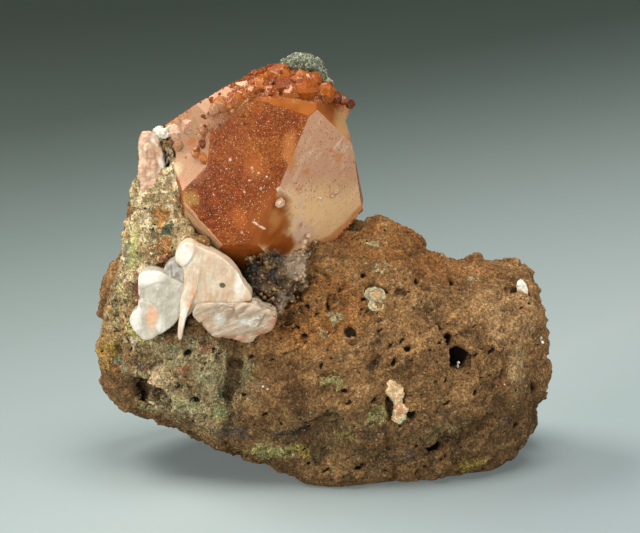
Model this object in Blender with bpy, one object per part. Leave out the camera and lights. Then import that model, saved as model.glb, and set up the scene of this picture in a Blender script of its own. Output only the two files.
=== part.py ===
# Analcime crystal on a loose piece of vesicular basalt, with blades, druse and small crystals.
# Scene units are metres, +Z is up and +Y points away from the side that is shown. The rock is cut
# flat at z = 0, with the origin on the cut. Lengths in the tables are millimetres, made metres by mm().
import math
import random

import bmesh
import bpy
from mathutils import Matrix, Vector, noise
from mathutils.bvhtree import BVHTree

MM = 0.001
GAP = 0.45 * MM                    # clearance between a piece and the pocket that holds it
BLOCK = 160 * MM                   # block that crystals are cut from

# Rock: x, lowest z, highest z, middle y and half depth of each cross-section
ROCK_SECTIONS = (
    (-40.0, 18.0, 25.0, 1.0, 6.0),
    (-38.6, 13.0, 31.0, 1.0, 12.0),
    (-36.0, 10.5, 36.0, 2.0, 16.0),
    (-32.0, 8.0, 41.0, 2.5, 18.5),
    (-27.0, 6.5, 43.0, 3.0, 20.0),
    (-20.0, 5.0, 41.0, 4.0, 21.5),
    (-13.0, 0.0, 40.0, 4.0, 22.5),
    (-4.0, -4.0, 40.5, 3.5, 22.5),
    (4.0, -12.0, 41.0, 3.0, 23.5),
    (11.0, -6.0, 42.0, 3.5, 23.0),
    (16.0, -5.0, 40.0, 4.0, 23.0),
    (20.0, -5.0, 35.5, 4.5, 23.0),
    (25.0, -4.5, 33.2, 4.5, 22.5),
    (30.0, -2.5, 33.0, 4.5, 21.5),
    (34.5, 1.0, 32.6, 4.5, 19.0),
    (38.0, 6.5, 31.0, 4.5, 15.0),
    (39.8, 14.0, 27.5, 4.0, 9.0),
)
ROCK_SQUARENESS = 2.6              # exponent of the superellipse sections
ROCK_SIDES = 40
ROCK_VOXEL = 1.3 * MM
ROCK_TRIANGLES = 4300              # kept before the pits and pockets are cut
# Rounded lumps joined to the rock: centre and half sizes
ROCK_LUMPS = (
    ((-29.9, -2.0, 50.0), (3.6, 9.0, 9.3)),        # wall at the left of the crystal
    ((-29.6, -1.0, 41.0), (4.3, 12.0, 12.0)),
    ((-25.4, -8.6, 43.0), (5.4, 6.2, 9.0)),        # shelf under the crystal's lower left
    ((-24.0, 12.0, 40.0), (9.0, 9.0, 16.0)),       # shoulder behind the crystal
    ((-12.0, 14.0, 38.0), (11.0, 9.0, 14.0)),
    ((5.0, 5.0, 36.0), (6.5, 9.0, 6.2)),           # rise at the crystal's right foot
    ((3.5, -13.0, 3.0), (10.0, 7.0, 5.0)),         # foot at the front
)
# Broken faces, on which the skin is ground down: normal and a point of each
FRACTURES = (
    ((0.10, 1.00, 0.05), (0.0, 23.5, 20.0)),
    ((-0.62, 0.75, 0.10), (-27.0, 17.0, 22.0)),
    ((0.70, 0.70, 0.15), (31.0, 18.0, 18.0)),
    ((0.72, -0.68, 0.05), (31.5, -12.5, 16.0)),
    ((-0.60, -0.80, 0.00), (-29.0, -14.2, 20.0)),
    ((0.25, -0.70, -0.67), (24.0, -15.5, 5.0)),
    ((-0.35, 0.90, 0.30), (-16.0, 19.5, 42.0)),
)
GRIND = 0.85                       # share of what stands past a broken face that is ground off
# The front steps back above a slanting edge: two points (x, z) of it, the step and its width
LEDGE = ((-15.0, 15.5), (24.0, 36.5), 3.0, 5.0)
# Furrows in the front: start and end (x, z), width and depth
FURROWS = (
    ((-15.2, 27.0), (-15.6, 4.0), 1.9, 2.6),       # crease where the front turns to the left face
    ((16.3, 5.0), (31.4, 12.3), 1.2, 1.8),
    ((20.6, 26.4), (23.4, 21.8), 0.9, 1.4),
    ((-6.0, 23.0), (3.0, 31.0), 1.6, 1.2),
)
# Unevenness of the rock: wavelength and height of each layer
ROCK_WAVES = ((16.0, 1.5), (6.0, 0.9), (2.6, 0.35))

# Gas pits in the front of the rock: x, z, then half width, half height and depth
PITS = (
    (23.2, 22.0, 2.1, 1.8, 2.4),
    (4.6, 26.2, 1.0, 1.0, 1.0),
    (6.0, 24.3, 0.8, 0.8, 0.8),
    (14.9, 23.2, 1.2, 1.0, 1.1),
    (12.5, 20.6, 0.9, 0.9, 0.9),
    (3.5, 15.6, 0.9, 0.8, 0.8),
    (26.7, 29.6, 0.9, 1.0, 0.9),
    (17.0, 35.5, 1.3, 1.0, 1.2),
    (18.9, 7.2, 1.3, 1.6, 1.4),
    (-6.6, 31.5, 0.9, 1.0, 1.0),
    (-6.4, 28.8, 1.0, 1.0, 1.0),
    (-3.1, 30.8, 1.1, 0.9, 1.0),
    (-3.3, 25.4, 0.9, 0.9, 0.9),
    (-1.2, 32.0, 0.9, 0.8, 0.9),
    (1.7, 32.3, 0.5, 1.7, 1.4),
    (-6.6, 22.4, 1.0, 1.0, 0.9),
    (-12.7, 21.6, 1.1, 1.0, 1.2),
    (-31.3, 15.6, 3.2, 1.7, 2.6),
    (-36.2, 22.5, 1.4, 1.3, 1.2),
    (36.2, 16.0, 0.5, 1.7, 1.2),
)

# Large crystal: corners (x, z) of its flat front face, which lies at y = FRONT_Y
FRONT_Y = -16.5
CRYSTAL_CENTRE = (-12.9, -1.0, 55.1)
CORNERS = {
    "top_left": (-18.8, 64.1), "top": (-11.7, 67.6), "top_right": (-2.45, 64.6),
    "right": (-7.5, 52.6), "bottom_right": (-13.0, 42.7), "bottom_left": (-17.3, 42.4),
    "left": (-24.7, 50.9), "notch": (-19.6, 56.1),
}
LONG_FOLD = 48.19                  # angles between neighbouring faces of a trapezohedron, degrees
SHORT_FOLD = 33.56
GROWTH_FOLD = 20.0                 # low growth face at the lower right of the front
SIDE_FOLD = 40.0
RIGHT_EDGE = ((-0.55, 64.9), (5.1, 58.1), (7.1, 43.9))     # outer edge of the right face, x and z
RIGHT_MIDDLE = (-0.5, 54.0)
UPPER_EDGE = ((3.1, 64.8), (5.1, 57.8))                    # outer edge of the face above it
UPPER_MIDDLE = (1.5, 63.5)
TOP_EDGE = ((-11.0, 67.9), (-0.3, 66.7))                   # upper edge of the top strip
TOP_MIDDLE = (-6.5, 66.5)
BACK_REACH = 15.0                  # from the centre to the faces at the back
GROWN_TOP = ((-0.517, 0.135, 0.856), (-28.0, -2.0, 60.5))  # slanting upper left side
GROWN_SIDE = ((-0.96, -0.25, -0.14), (-27.3, -6.0, 56.0))     # side that grew against the wall

# Small crystals grown on the large one: centre and radius
TOP_CRYSTALS = (
    ((-10.6, -11.6, 68.4), 2.5), ((-7.2, -9.5, 69.8), 2.8), ((-3.4, -11.0, 68.6), 2.9),
    ((0.3, -10.6, 67.5), 2.1), ((-5.4, -13.4, 67.8), 1.8), ((-8.8, -13.7, 68.0), 1.5),
    ((-1.2, -12.8, 67.2), 1.4), ((2.0, -7.8, 65.5), 1.9), ((3.0, -6.0, 63.6), 1.4),
    ((-13.8, -9.0, 67.6), 1.9), ((-11.4, -4.0, 68.6), 2.2), ((-5.5, -2.0, 69.5), 2.4),
    ((0.0, -3.0, 67.6), 2.0), ((-9.0, 4.0, 67.4), 2.3), ((-15.6, 2.0, 65.4), 2.0),
)
# Row of smaller ones down the upper left edge: first and last centre, count, radius range
EDGE_ROWS = (
    ((-17.9, -15.4, 65.3), (-12.0, -15.4, 68.2), 6, (1.0, 1.6)),
    ((-20.6, -14.6, 60.6), (-18.6, -15.4, 64.6), 4, (0.9, 1.5)),
    ((-23.5, -9.0, 62.0), (-14.8, -11.0, 67.4), 7, (0.8, 1.4)),
)
SIDE_CRYSTALS = (
    ((-24.6, -10.4, 58.6), 1.2), ((-21.4, -14.0, 57.9), 1.1), ((-22.9, -12.4, 55.4), 1.0),
    ((-25.6, -9.2, 54.6), 1.1),
)
HOLLOW = ((-26.3, -11.0, 56.8), (1.1, 2.6, 1.6))           # dark hollow beside the wall

# White blade at the left: outline (x, z), front and back y, bevel, and the front's lean
LEFT_BLADE = (
    ((-31.2, 37.0), (-30.3, 37.9), (-27.5, 37.9), (-24.9, 36.4), (-24.9, 27.0), (-30.7, 26.2),
     (-32.6, 29.1), (-32.2, 31.5)),
    -20.0, -13.2, 0.5, (-0.10, 0.03),
)
# Fan of blades below the crystal, from the left round to the right
FAN_BLADES = (
    (((-24.4, 27.4), (-24.1, 32.9), (-23.0, 35.6), (-22.6, 31.0)), -20.6, -15.8, 0.3, (-0.20, 0.0)),
    (((-24.9, 41.2), (-24.1, 42.8), (-22.7, 43.5), (-20.9, 42.9), (-22.6, 39.4)), -21.2, -15.6, 0.4,
     (-0.30, 0.10)),
    (((-23.8, 28.2), (-23.2, 39.8), (-22.6, 43.1), (-20.9, 42.7), (-19.4, 41.8)), -21.5, -15.8, 0.25,
     (-0.12, 0.02)),
    (((-24.0, 28.0), (-20.2, 42.3), (-16.8, 40.3)), -21.3, -16.0, 0.25, (-0.05, 0.0)),
    (((-23.7, 28.8), (-17.6, 40.8), (-14.5, 38.5)), -21.5, -16.1, 0.25, (0.05, 0.02)),
    (((-23.4, 29.4), (-15.2, 39.0), (-13.2, 36.2)), -21.2, -16.2, 0.25, (0.10, 0.0)),
    (((-22.4, 31.6), (-13.6, 36.9), (-12.2, 34.2), (-13.6, 33.6), (-20.6, 33.6)), -21.0, -16.2, 0.25,
     (0.15, 0.05)),
)
# Translucent blade between them, which stands behind both
GREY_BLADE = (
    ((-27.2, 37.6), (-26.9, 38.9), (-25.0, 40.1), (-22.9, 38.9), (-22.7, 35.0), (-24.7, 34.2)),
    -19.2, -14.8, 0.3, (-0.15, 0.10),
)
CLEAR_BLADE = (
    ((-21.2, 32.4), (-11.5, 32.9), (-8.5, 31.4), (-8.4, 29.7), (-11.5, 26.4), (-16.8, 26.8),
     (-19.6, 28.0), (-21.6, 30.4)),
    -20.6, -15.2, 0.5, (0.04, -0.06),
)

# Knob on top: centres and radii of its botryoidal bulges, then of the tail down its right
CAP_BULGES = (
    ((-4.0, -6.4, 71.2), 2.5), ((-6.0, -6.8, 71.5), 1.8), ((-2.0, -6.8, 71.6), 1.9),
    ((-4.6, -7.0, 72.8), 1.5), ((-0.9, -6.6, 70.4), 1.3), ((-3.0, -4.2, 71.8), 2.0),
    ((-6.4, -5.0, 70.0), 1.3), ((0.1, -7.0, 69.5), 1.0), ((0.8, -7.6, 68.6), 0.9),
    ((1.5, -8.2, 67.6), 0.8),
)
CAP_VOXEL = 0.45 * MM
CAP_TRIANGLES = 460

# Crust of tiny crystals under the large one: centre and half sizes of its base, and the crystals
CRUST_BASE = ((-8.2, -13.2, 36.4), (7.0, 3.2, 4.6))
CRUST_COUNT = 16
CRUST_REACH = 0.66                 # how far out on the base the crystals stand
CRUST_RADII = (0.8, 1.4)

# Crystals and grains set in the rock: centre x, nominal y and z, half sizes, how far they stand out
WALL_CRYSTAL = ((-29.8, -9.3, 55.6), (2.2, 2.2, 4.4))
WHITE_KNOB = ((-28.3, -7.6, 60.2), (1.2, 1.2, 1.5))
NODULE = ((12.4, 15.3), (2.0, 1.7, 3.6), 0.9)
RING_CRYSTAL = ((9.2, 33.0), (1.6, 1.4, 1.5), 0.5)
CHIP = ((35.2, 31.0), (1.0, 1.0, 1.4), 0.6)

# Colour (linear RGB), roughness and transmission of each material
FINISHES = {
    "basalt": ((0.155, 0.085, 0.040), 0.95, 0.0),
    "analcime": ((0.500, 0.155, 0.060), 0.35, 0.15),
    "white_blade": ((0.780, 0.720, 0.640), 0.45, 0.0),
    "cream_blade": ((0.800, 0.640, 0.480), 0.45, 0.0),
    "clear_blade": ((0.560, 0.520, 0.470), 0.20, 0.6),
    "celadonite": ((0.230, 0.240, 0.170), 0.85, 0.0),
    "grey_druse": ((0.330, 0.290, 0.250), 0.40, 0.1),
    "pink_crystal": ((0.620, 0.270, 0.160), 0.40, 0.1),
    "white_crystal": ((0.800, 0.760, 0.700), 0.50, 0.0),
    "cream_nodule": ((0.620, 0.500, 0.310), 0.70, 0.0),
}


def mm(*values):
    return Vector(values) * MM


def clear_scene():
    for item in list(bpy.data.objects):
        bpy.data.objects.remove(item, do_unlink=True)


def finish(name):
    """The named Principled material, made on first use."""
    material = bpy.data.materials.get(name) or bpy.data.materials.new(name)
    colour, roughness, transmission = FINISHES[name]
    material.use_nodes = True
    shader = material.node_tree.nodes["Principled BSDF"]
    shader.inputs["Base Color"].default_value = (*colour, 1.0)
    shader.inputs["Roughness"].default_value = roughness
    shader.inputs["Metallic"].default_value = 0.0
    shader.inputs["Transmission Weight"].default_value = transmission
    material.diffuse_color = (*colour, 1.0)
    return material


def add_object(name, bm):
    mesh = bpy.data.meshes.new(name)
    bm.to_mesh(mesh)
    bm.free()
    item = bpy.data.objects.new(name, mesh)
    bpy.context.collection.objects.link(item)
    return item


def name_piece(item, name, material, sharp_angle=None):
    """Gives a finished piece its name, its material and its shading."""
    item.name = name
    item.data.name = name
    item.data.materials.clear()
    item.data.materials.append(finish(material))
    if sharp_angle is not None:
        item.data.shade_smooth()
        item.data.set_sharp_from_angle(angle=math.radians(sharp_angle))
    return item


def apply_modifier(item, modifier):
    bpy.context.view_layer.update()
    with bpy.context.temp_override(object=item, active_object=item, selected_objects=[item]):
        bpy.ops.object.modifier_apply(modifier=modifier.name)


def boolean(item, other, operation):
    """Joins another object to this one, or cuts it away, and removes the other."""
    modifier = item.modifiers.new(operation.lower(), "BOOLEAN")
    modifier.operation = operation
    modifier.solver = "EXACT"
    modifier.object = other
    apply_modifier(item, modifier)
    bpy.data.objects.remove(other, do_unlink=True)
    return item


def unite(items):
    first = items[0]
    for other in items[1:]:
        boolean(first, other, "UNION")
    return first


def keep_largest_body(item):
    """Drops loose crumbs that cutting may leave beside the piece."""
    bm = bmesh.new()
    bm.from_mesh(item.data)
    left = set(bm.faces)
    bodies = []
    while left:
        front = [left.pop()]
        body = []
        while front:
            face = front.pop()
            body.append(face)
            for edge in face.edges:
                for other in edge.link_faces:
                    if other in left:
                        left.remove(other)
                        front.append(other)
        bodies.append(body)
    bodies.sort(key=lambda body: sum(face.calc_area() for face in body))
    for body in bodies[:-1]:
        bmesh.ops.delete(bm, geom=body, context="FACES")
    bm.to_mesh(item.data)
    bm.free()
    return item


def plane(normal, point):
    return Vector(normal).normalized(), Vector(point)


def hinge(face, first, second, degrees, kept):
    """The plane through an edge of a face, folded back so that a kept point of the face stays inside."""
    turns = (Matrix.Rotation(math.radians(sign * degrees), 3, second - first) for sign in (1, -1))
    normals = [turn @ face[0] for turn in turns]
    return plane(max(normals, key=lambda normal: normal.dot(first - kept)), first)


def on_face(face, x, z):
    """The point of a face at a given x and z."""
    normal, point = face
    y = point.y - (normal.x * (x - point.x) + normal.z * (z - point.z)) / normal.y
    return Vector((x, y, z))


def cut_crystal(faces, centre, grow=0.0):
    """A crystal cut from a block by its face planes (mm), each moved out by grow (m)."""
    bm = bmesh.new()
    bmesh.ops.create_cube(bm, size=BLOCK, matrix=Matrix.Translation(mm(*centre)))
    for normal, point in faces:
        everything = bm.verts[:] + bm.edges[:] + bm.faces[:]
        bmesh.ops.bisect_plane(bm, geom=everything, plane_co=point * MM + normal * grow,
                               plane_no=normal, clear_outer=True)
        rim = [edge for edge in bm.edges if edge.is_boundary]
        if rim:
            bmesh.ops.holes_fill(bm, edges=rim, sides=0)
    bmesh.ops.remove_doubles(bm, verts=bm.verts, dist=0.01 * MM)
    bmesh.ops.recalc_face_normals(bm, faces=bm.faces)
    return add_object("crystal", bm)


def trapezohedron_normals(turn):
    """The 24 face normals of the form {211}, turned by a rotation."""
    normals = []
    for long_axis in range(3):
        for signs in range(8):
            normal = [1.0, 1.0, 1.0]
            normal[long_axis] = 2.0
            for axis in range(3):
                if signs >> axis & 1:
                    normal[axis] = -normal[axis]
            normals.append((turn @ Vector(normal)).normalized())
    return normals


def random_turn(dice):
    axis = Vector((dice.uniform(-1, 1), dice.uniform(-1, 1), dice.uniform(-1, 1)))
    return Matrix.Rotation(dice.uniform(0, math.tau), 3, axis)


def small_crystal(centre, radii, dice, grow=0.0):
    """A trapezohedron of given half sizes (mm), turned at random."""
    if isinstance(radii, float):
        radii = (radii,) * 3
    faces = []
    for normal in trapezohedron_normals(random_turn(dice)):
        reach = Vector([radius * part for radius, part in zip(radii, normal)]).length
        faces.append(plane(normal, Vector(centre) + normal * reach * dice.uniform(0.86, 0.98)))
    return cut_crystal(faces, centre, grow)


def ellipsoid(centre, half_sizes, detail, grow=0.0):
    bm = bmesh.new()
    bmesh.ops.create_icosphere(bm, subdivisions=detail, radius=1.0)
    size = mm(*half_sizes) + Vector((grow, grow, grow))
    bmesh.ops.scale(bm, vec=size, verts=bm.verts)
    bmesh.ops.translate(bm, vec=mm(*centre), verts=bm.verts)
    return add_object("ellipsoid", bm)


def slab(outline, front, back, bevel, lean, grow=0.0):
    """A tabular crystal: convex outline (x, z), front and back y, and a bevel round the front."""
    middle = Vector((sum(x for x, _ in outline), 0, sum(z for _, z in outline))) / len(outline)
    faces = [plane((lean[0], -1.0, lean[1]), (middle.x, front, middle.z)), plane((0, 1, 0), (0, back, 0))]
    for start, end in zip(outline, outline[1:] + outline[:1]):
        out = Vector((end[1] - start[1], 0, start[0] - end[0])).normalized()
        edge = Vector((start[0], front + bevel, start[1]))
        if out.dot(edge - middle) < 0:
            out = -out
        faces.append(plane(out, edge))
        faces.append(plane(out + Vector((0, -1, 0)), edge))
    return cut_crystal(faces, (middle.x, (front + back) / 2, middle.z), grow)


def crystal_faces():
    """Face planes of the large crystal, and the three on its left that meet in a re-entrant notch."""
    inner = Vector(CRYSTAL_CENTRE)
    corner = {name: Vector((x, FRONT_Y, z)) for name, (x, z) in CORNERS.items()}
    middle = sum(corner.values(), Vector()) / len(corner)
    front = plane((0, -1, 0), middle)

    def fold_front(first, second, degrees=LONG_FOLD):
        return hinge(front, corner[first], corner[second], degrees, middle)

    def fold_again(face, edge, degrees, kept):
        first, second = [on_face(face, x, z) for x, z in edge]
        return hinge(face, first, second, degrees, on_face(face, *kept))

    right = fold_front("top_right", "right")
    top = fold_front("top", "top_right", SHORT_FOLD)
    upper_right = fold_again(right, RIGHT_EDGE[:2], SHORT_FOLD, RIGHT_MIDDLE)
    side = fold_again(right, RIGHT_EDGE[1:], SIDE_FOLD, RIGHT_MIDDLE)
    upper_side = fold_again(upper_right, UPPER_EDGE, SHORT_FOLD, UPPER_MIDDLE)
    crown = fold_again(top, TOP_EDGE, LONG_FOLD, TOP_MIDDLE)
    lower_left = fold_front("bottom_left", "left")
    bottom = fold_front("bottom_left", "bottom_right")
    growth = fold_front("right", "bottom_right", GROWTH_FOLD)
    left = fold_front("left", "notch")
    upper_left = fold_front("top_left", "top")
    far_left = fold_front("notch", "top_left")
    shared = [front, right, top, upper_right, side, upper_side, crown, lower_left, bottom, growth,
              plane(*GROWN_TOP), plane(*GROWN_SIDE)]
    for normal, _ in (front, right, top, lower_left, bottom, upper_left, upper_right):
        shared.append(plane(-normal, inner - normal * BACK_REACH))
    return shared, left, (upper_left, far_left)


def large_crystal(grow=0.0):
    """The crystal and what has grown into it, as one solid, with its faces moved out by grow."""
    dice = random.Random(5)
    shared, left, others = crystal_faces()
    crystal = cut_crystal(shared, CRYSTAL_CENTRE, grow)
    for other in others:
        wedge = [plane(-normal, point) for normal, point in (left, other)]
        boolean(crystal, cut_crystal(wedge, CRYSTAL_CENTRE, -grow), "DIFFERENCE")
    blocks = [crystal]
    for centre, radius in TOP_CRYSTALS + SIDE_CRYSTALS:
        blocks.append(small_crystal(centre, radius, dice, grow))
    for first, last, count, (low, high) in EDGE_ROWS:
        for step in range(count):
            centre = Vector(first).lerp(Vector(last), step / (count - 1))
            shift = Vector((dice.uniform(-0.3, 0.3), dice.uniform(-0.4, 0.4), dice.uniform(-0.3, 0.3)))
            blocks.append(small_crystal(centre + shift, dice.uniform(low, high), dice, grow))
    return unite(blocks)


def fan(grow=0.0):
    return unite([slab(*blade, grow) for blade in FAN_BLADES])


def melt(item, voxel):
    """Melts overlapping shells into one skin."""
    modifier = item.modifiers.new("skin", "REMESH")
    modifier.mode = "VOXEL"
    modifier.voxel_size = voxel
    apply_modifier(item, modifier)


def thin(item, triangles):
    modifier = item.modifiers.new("thin", "DECIMATE")
    modifier.ratio = min(1.0, triangles / sum(len(face.vertices) - 2 for face in item.data.polygons))
    apply_modifier(item, modifier)


def join_shells(items):
    """One object of several overlapping shells, ready to be melted into one skin."""
    bm = bmesh.new()
    for item in items:
        bm.from_mesh(item.data)
        bpy.data.objects.remove(item, do_unlink=True)
    return add_object("shells", bm)


def cap(grow=0.0):
    bulges = [ellipsoid(centre, (radius,) * 3, 2, grow) for centre, radius in CAP_BULGES]
    knob = join_shells(bulges)
    melt(knob, CAP_VOXEL)
    thin(knob, CAP_TRIANGLES)
    return knob


def loft_sections():
    """The rock's body, lofted through its superellipse sections."""
    bm = bmesh.new()
    rings = []
    power = 2.0 / ROCK_SQUARENESS
    for x, low, high, middle_y, half_y in ROCK_SECTIONS:
        ring = []
        for side in range(ROCK_SIDES):
            angle = math.tau * side / ROCK_SIDES
            cosine, sine = math.cos(angle), math.sin(angle)
            y = middle_y + half_y * math.copysign(abs(cosine) ** power, cosine)
            z = (low + high) / 2 + (high - low) / 2 * math.copysign(abs(sine) ** power, sine)
            ring.append(bm.verts.new(mm(x, y, z)))
        rings.append(ring)
    for near, far in zip(rings, rings[1:]):
        for side in range(ROCK_SIDES):
            after = (side + 1) % ROCK_SIDES
            bm.faces.new((near[side], near[after], far[after], far[side]))
    bm.faces.new(rings[0])
    bm.faces.new(rings[-1])
    bmesh.ops.recalc_face_normals(bm, faces=bm.faces)
    return add_object("body", bm)


def smooth_step(value):
    value = min(1.0, max(0.0, value))
    return value * value * (3.0 - 2.0 * value)


def sunk_by(x, z):
    """How far (mm) the front is sunk at x and z by the ledge and the furrows."""
    (x0, z0), (x1, z1), step, width = LEDGE
    above = (z - z0 - (z1 - z0) / (x1 - x0) * (x - x0)) / width
    within = smooth_step((x - x0) / width + 1.0) * smooth_step((x1 - x) / width)
    depth = step * within * smooth_step(above + 0.5)
    for start, end, width, sink in FURROWS:
        along = Vector(end) - Vector(start)
        place = (Vector((x, z)) - Vector(start)).dot(along) / along.length_squared
        nearest = Vector(start) + along * min(1.0, max(0.0, place))
        depth += sink * math.exp(-((Vector((x, z)) - nearest).length / width) ** 2)
    return depth


def shape_skin(item):
    """Sinks the front at its ledge and furrows, then roughens the whole skin with layers of noise."""
    mesh = item.data
    normals = [vertex.normal.copy() for vertex in mesh.vertices]
    for vertex, normal in zip(mesh.vertices, normals):
        shift = sum(height * noise.noise(vertex.co / (length * MM)) for length, height in ROCK_WAVES)
        facing = max(0.0, -normal.y)
        x, _, z = vertex.co / MM
        vertex.co += (normal * shift + Vector((0, facing * sunk_by(x, z), 0))) * MM
        for slope, point in FRACTURES:
            direction, point = plane(slope, point)
            past = direction.dot(vertex.co - point * MM)
            if past > 0:
                vertex.co -= direction * past * GRIND
    mesh.update()


def cut_flat(item):
    bm = bmesh.new()
    bm.from_mesh(item.data)
    everything = bm.verts[:] + bm.edges[:] + bm.faces[:]
    bmesh.ops.bisect_plane(bm, geom=everything, plane_co=(0, 0, 0), plane_no=(0, 0, -1),
                           clear_outer=True)
    bmesh.ops.holes_fill(bm, edges=[edge for edge in bm.edges if edge.is_boundary], sides=0)
    bmesh.ops.recalc_face_normals(bm, faces=bm.faces)
    bm.to_mesh(item.data)
    bm.free()


def rock_body():
    lumps = [ellipsoid(centre, sizes, 3) for centre, sizes in ROCK_LUMPS]
    rock = join_shells([loft_sections()] + lumps)
    melt(rock, ROCK_VOXEL)
    shape_skin(rock)
    thin(rock, ROCK_TRIANGLES)
    cut_flat(rock)
    return rock


def front_of(rock):
    """A function that gives the y (mm) of the rock's front at x and z (mm)."""
    bm = bmesh.new()
    bm.from_mesh(rock.data)
    tree = BVHTree.FromBMesh(bm)
    bm.free()

    def front(x, z):
        hit = tree.ray_cast(mm(x, -100.0, z), Vector((0, 1, 0)))[0]
        return hit.y / MM
    return front


def cut_pits(rock, front):
    for x, z, half_width, half_height, depth in PITS:
        detail = 2 if max(half_width, half_height) > 1.5 else 1
        cutter = ellipsoid((x, front(x, z), z), (half_width, depth, half_height), detail)
        boolean(rock, cutter, "DIFFERENCE")


def crust():
    dice = random.Random(12)
    centre, sizes = CRUST_BASE
    pieces = [ellipsoid(centre, sizes, 2)]
    for _ in range(CRUST_COUNT):
        angle = dice.uniform(0, math.tau)
        reach = CRUST_REACH * math.sqrt(dice.random())
        x = centre[0] + sizes[0] * reach * math.cos(angle)
        z = centre[2] + sizes[2] * reach * math.sin(angle)
        y = centre[1] - sizes[1] * math.sqrt(1 - reach * reach)
        pieces.append(small_crystal((x, y, z), dice.uniform(*CRUST_RADII), dice))
    return unite(pieces)


def set_in(front, place, half_sizes, proud):
    """Centre of a grain that stands out of the rock's front by a given height."""
    x, z = place
    return x, front(x, z) + half_sizes[1] - proud, z


def main():
    clear_scene()
    rock = rock_body()
    front = front_of(rock)
    cut_pits(rock, front)

    crystal = large_crystal()
    boolean(crystal, cap(GAP), "DIFFERENCE")
    boolean(crystal, small_crystal(*WHITE_KNOB, random.Random(2), GAP), "DIFFERENCE")
    boolean(crystal, ellipsoid(*HOLLOW, 2), "DIFFERENCE")
    name_piece(keep_largest_body(crystal), "analcime_crystal", "analcime")

    druse = crust()
    for cutter in (large_crystal(GAP), fan(GAP), slab(*CLEAR_BLADE, GAP)):
        boolean(druse, cutter, "DIFFERENCE")
    name_piece(keep_largest_body(druse), "grey_druse", "grey_druse")

    grains = (
        ("pink_wall_crystal", "pink_crystal", WALL_CRYSTAL),
        ("white_knob", "white_crystal", WHITE_KNOB),
        ("cream_nodule", "cream_nodule", (set_in(front, *NODULE), NODULE[1])),
        ("ring_crystal", "clear_blade", (set_in(front, *RING_CRYSTAL), RING_CRYSTAL[1])),
        ("white_chip", "white_crystal", (set_in(front, *CHIP), CHIP[1])),
    )
    pockets = [large_crystal(GAP), cap(GAP), fan(GAP), slab(*LEFT_BLADE, GAP), slab(*CLEAR_BLADE, GAP),
               slab(*GREY_BLADE, GAP), ellipsoid(*HOLLOW, 2), ellipsoid(*CRUST_BASE, 2, GAP)]
    for cutter in pockets:
        boolean(rock, cutter, "DIFFERENCE")
    for name, material, (centre, sizes) in grains:
        boolean(rock, small_crystal(centre, sizes, random.Random(2), GAP), "DIFFERENCE")
        name_piece(small_crystal(centre, sizes, random.Random(2)), name, material)
    name_piece(keep_largest_body(rock), "basalt_matrix", "basalt", 50.0)

    name_piece(cap(), "green_cap", "celadonite", 60.0)
    name_piece(slab(*LEFT_BLADE), "white_blade_left", "white_blade")
    name_piece(fan(), "white_blade_right", "cream_blade")
    clear_blade = boolean(slab(*CLEAR_BLADE), fan(GAP), "DIFFERENCE")
    name_piece(keep_largest_body(clear_blade), "clear_blade", "clear_blade")
    grey_blade = boolean(slab(*GREY_BLADE), fan(GAP), "DIFFERENCE")
    boolean(grey_blade, slab(*LEFT_BLADE, GAP), "DIFFERENCE")
    name_piece(keep_largest_body(grey_blade), "grey_blade", "clear_blade")


main()
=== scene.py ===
import math
import random

import bpy
import numpy as np
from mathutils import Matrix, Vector


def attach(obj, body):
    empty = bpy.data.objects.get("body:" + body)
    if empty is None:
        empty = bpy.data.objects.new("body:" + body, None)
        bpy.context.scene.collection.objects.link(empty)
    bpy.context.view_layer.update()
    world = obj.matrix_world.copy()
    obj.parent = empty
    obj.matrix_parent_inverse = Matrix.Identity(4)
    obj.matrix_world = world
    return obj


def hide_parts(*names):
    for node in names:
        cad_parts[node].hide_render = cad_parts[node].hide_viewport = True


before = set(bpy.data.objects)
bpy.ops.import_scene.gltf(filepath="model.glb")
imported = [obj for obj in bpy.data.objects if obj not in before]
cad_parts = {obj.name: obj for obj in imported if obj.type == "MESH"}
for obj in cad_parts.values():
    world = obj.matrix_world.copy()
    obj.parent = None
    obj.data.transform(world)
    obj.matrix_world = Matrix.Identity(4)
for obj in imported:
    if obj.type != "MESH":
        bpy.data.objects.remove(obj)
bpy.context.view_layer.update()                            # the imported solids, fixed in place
mm = 0.001                                   # the tables below are in millimetres
print("frame loaded:", len(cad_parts), "nodes")


# everyday steps on objects

def makeActive(piece):
    bpy.ops.object.select_all(action="DESELECT")
    piece.select_set(True)
    bpy.context.view_layer.objects.active = piece
    return piece


def applyModifier(piece, kind, **settings):
    makeActive(piece)
    modifier = piece.modifiers.new(kind.title(), kind)
    for name, value in settings.items():
        setattr(modifier, name, value)
    bpy.ops.object.modifier_apply(modifier=modifier.name)
    return piece


def applyTree(piece, tree):
    return applyModifier(piece, "NODES", node_group=tree)


def remeshed(piece, voxel, smoothing=0):
    applyModifier(piece, "REMESH", mode="VOXEL", voxel_size=voxel * mm, use_smooth_shade=True)
    if smoothing:
        applyModifier(piece, "SMOOTH", factor=0.5, iterations=smoothing)
    return piece


def copyOfNode(node, name):                  # a node's mesh is loose triangles, so the copy is merged
    piece = bpy.data.objects.new(name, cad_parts[node].data.copy())
    bpy.context.collection.objects.link(piece)
    piece.data.materials.clear()
    makeActive(piece)
    bpy.ops.mesh.customdata_custom_splitnormals_clear()
    bpy.ops.object.mode_set(mode="EDIT")
    bpy.ops.mesh.select_all(action="SELECT")
    bpy.ops.mesh.remove_doubles(threshold=0.00001)
    bpy.ops.object.mode_set(mode="OBJECT")
    return piece


def joined(pieces, name):
    makeActive(pieces[0])
    for piece in pieces:
        piece.select_set(True)
    bpy.ops.object.join()
    whole = bpy.context.view_layer.objects.active
    whole.name = name
    whole.data.name = name
    bpy.ops.object.transform_apply(location=True, rotation=True, scale=True)
    return whole


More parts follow.
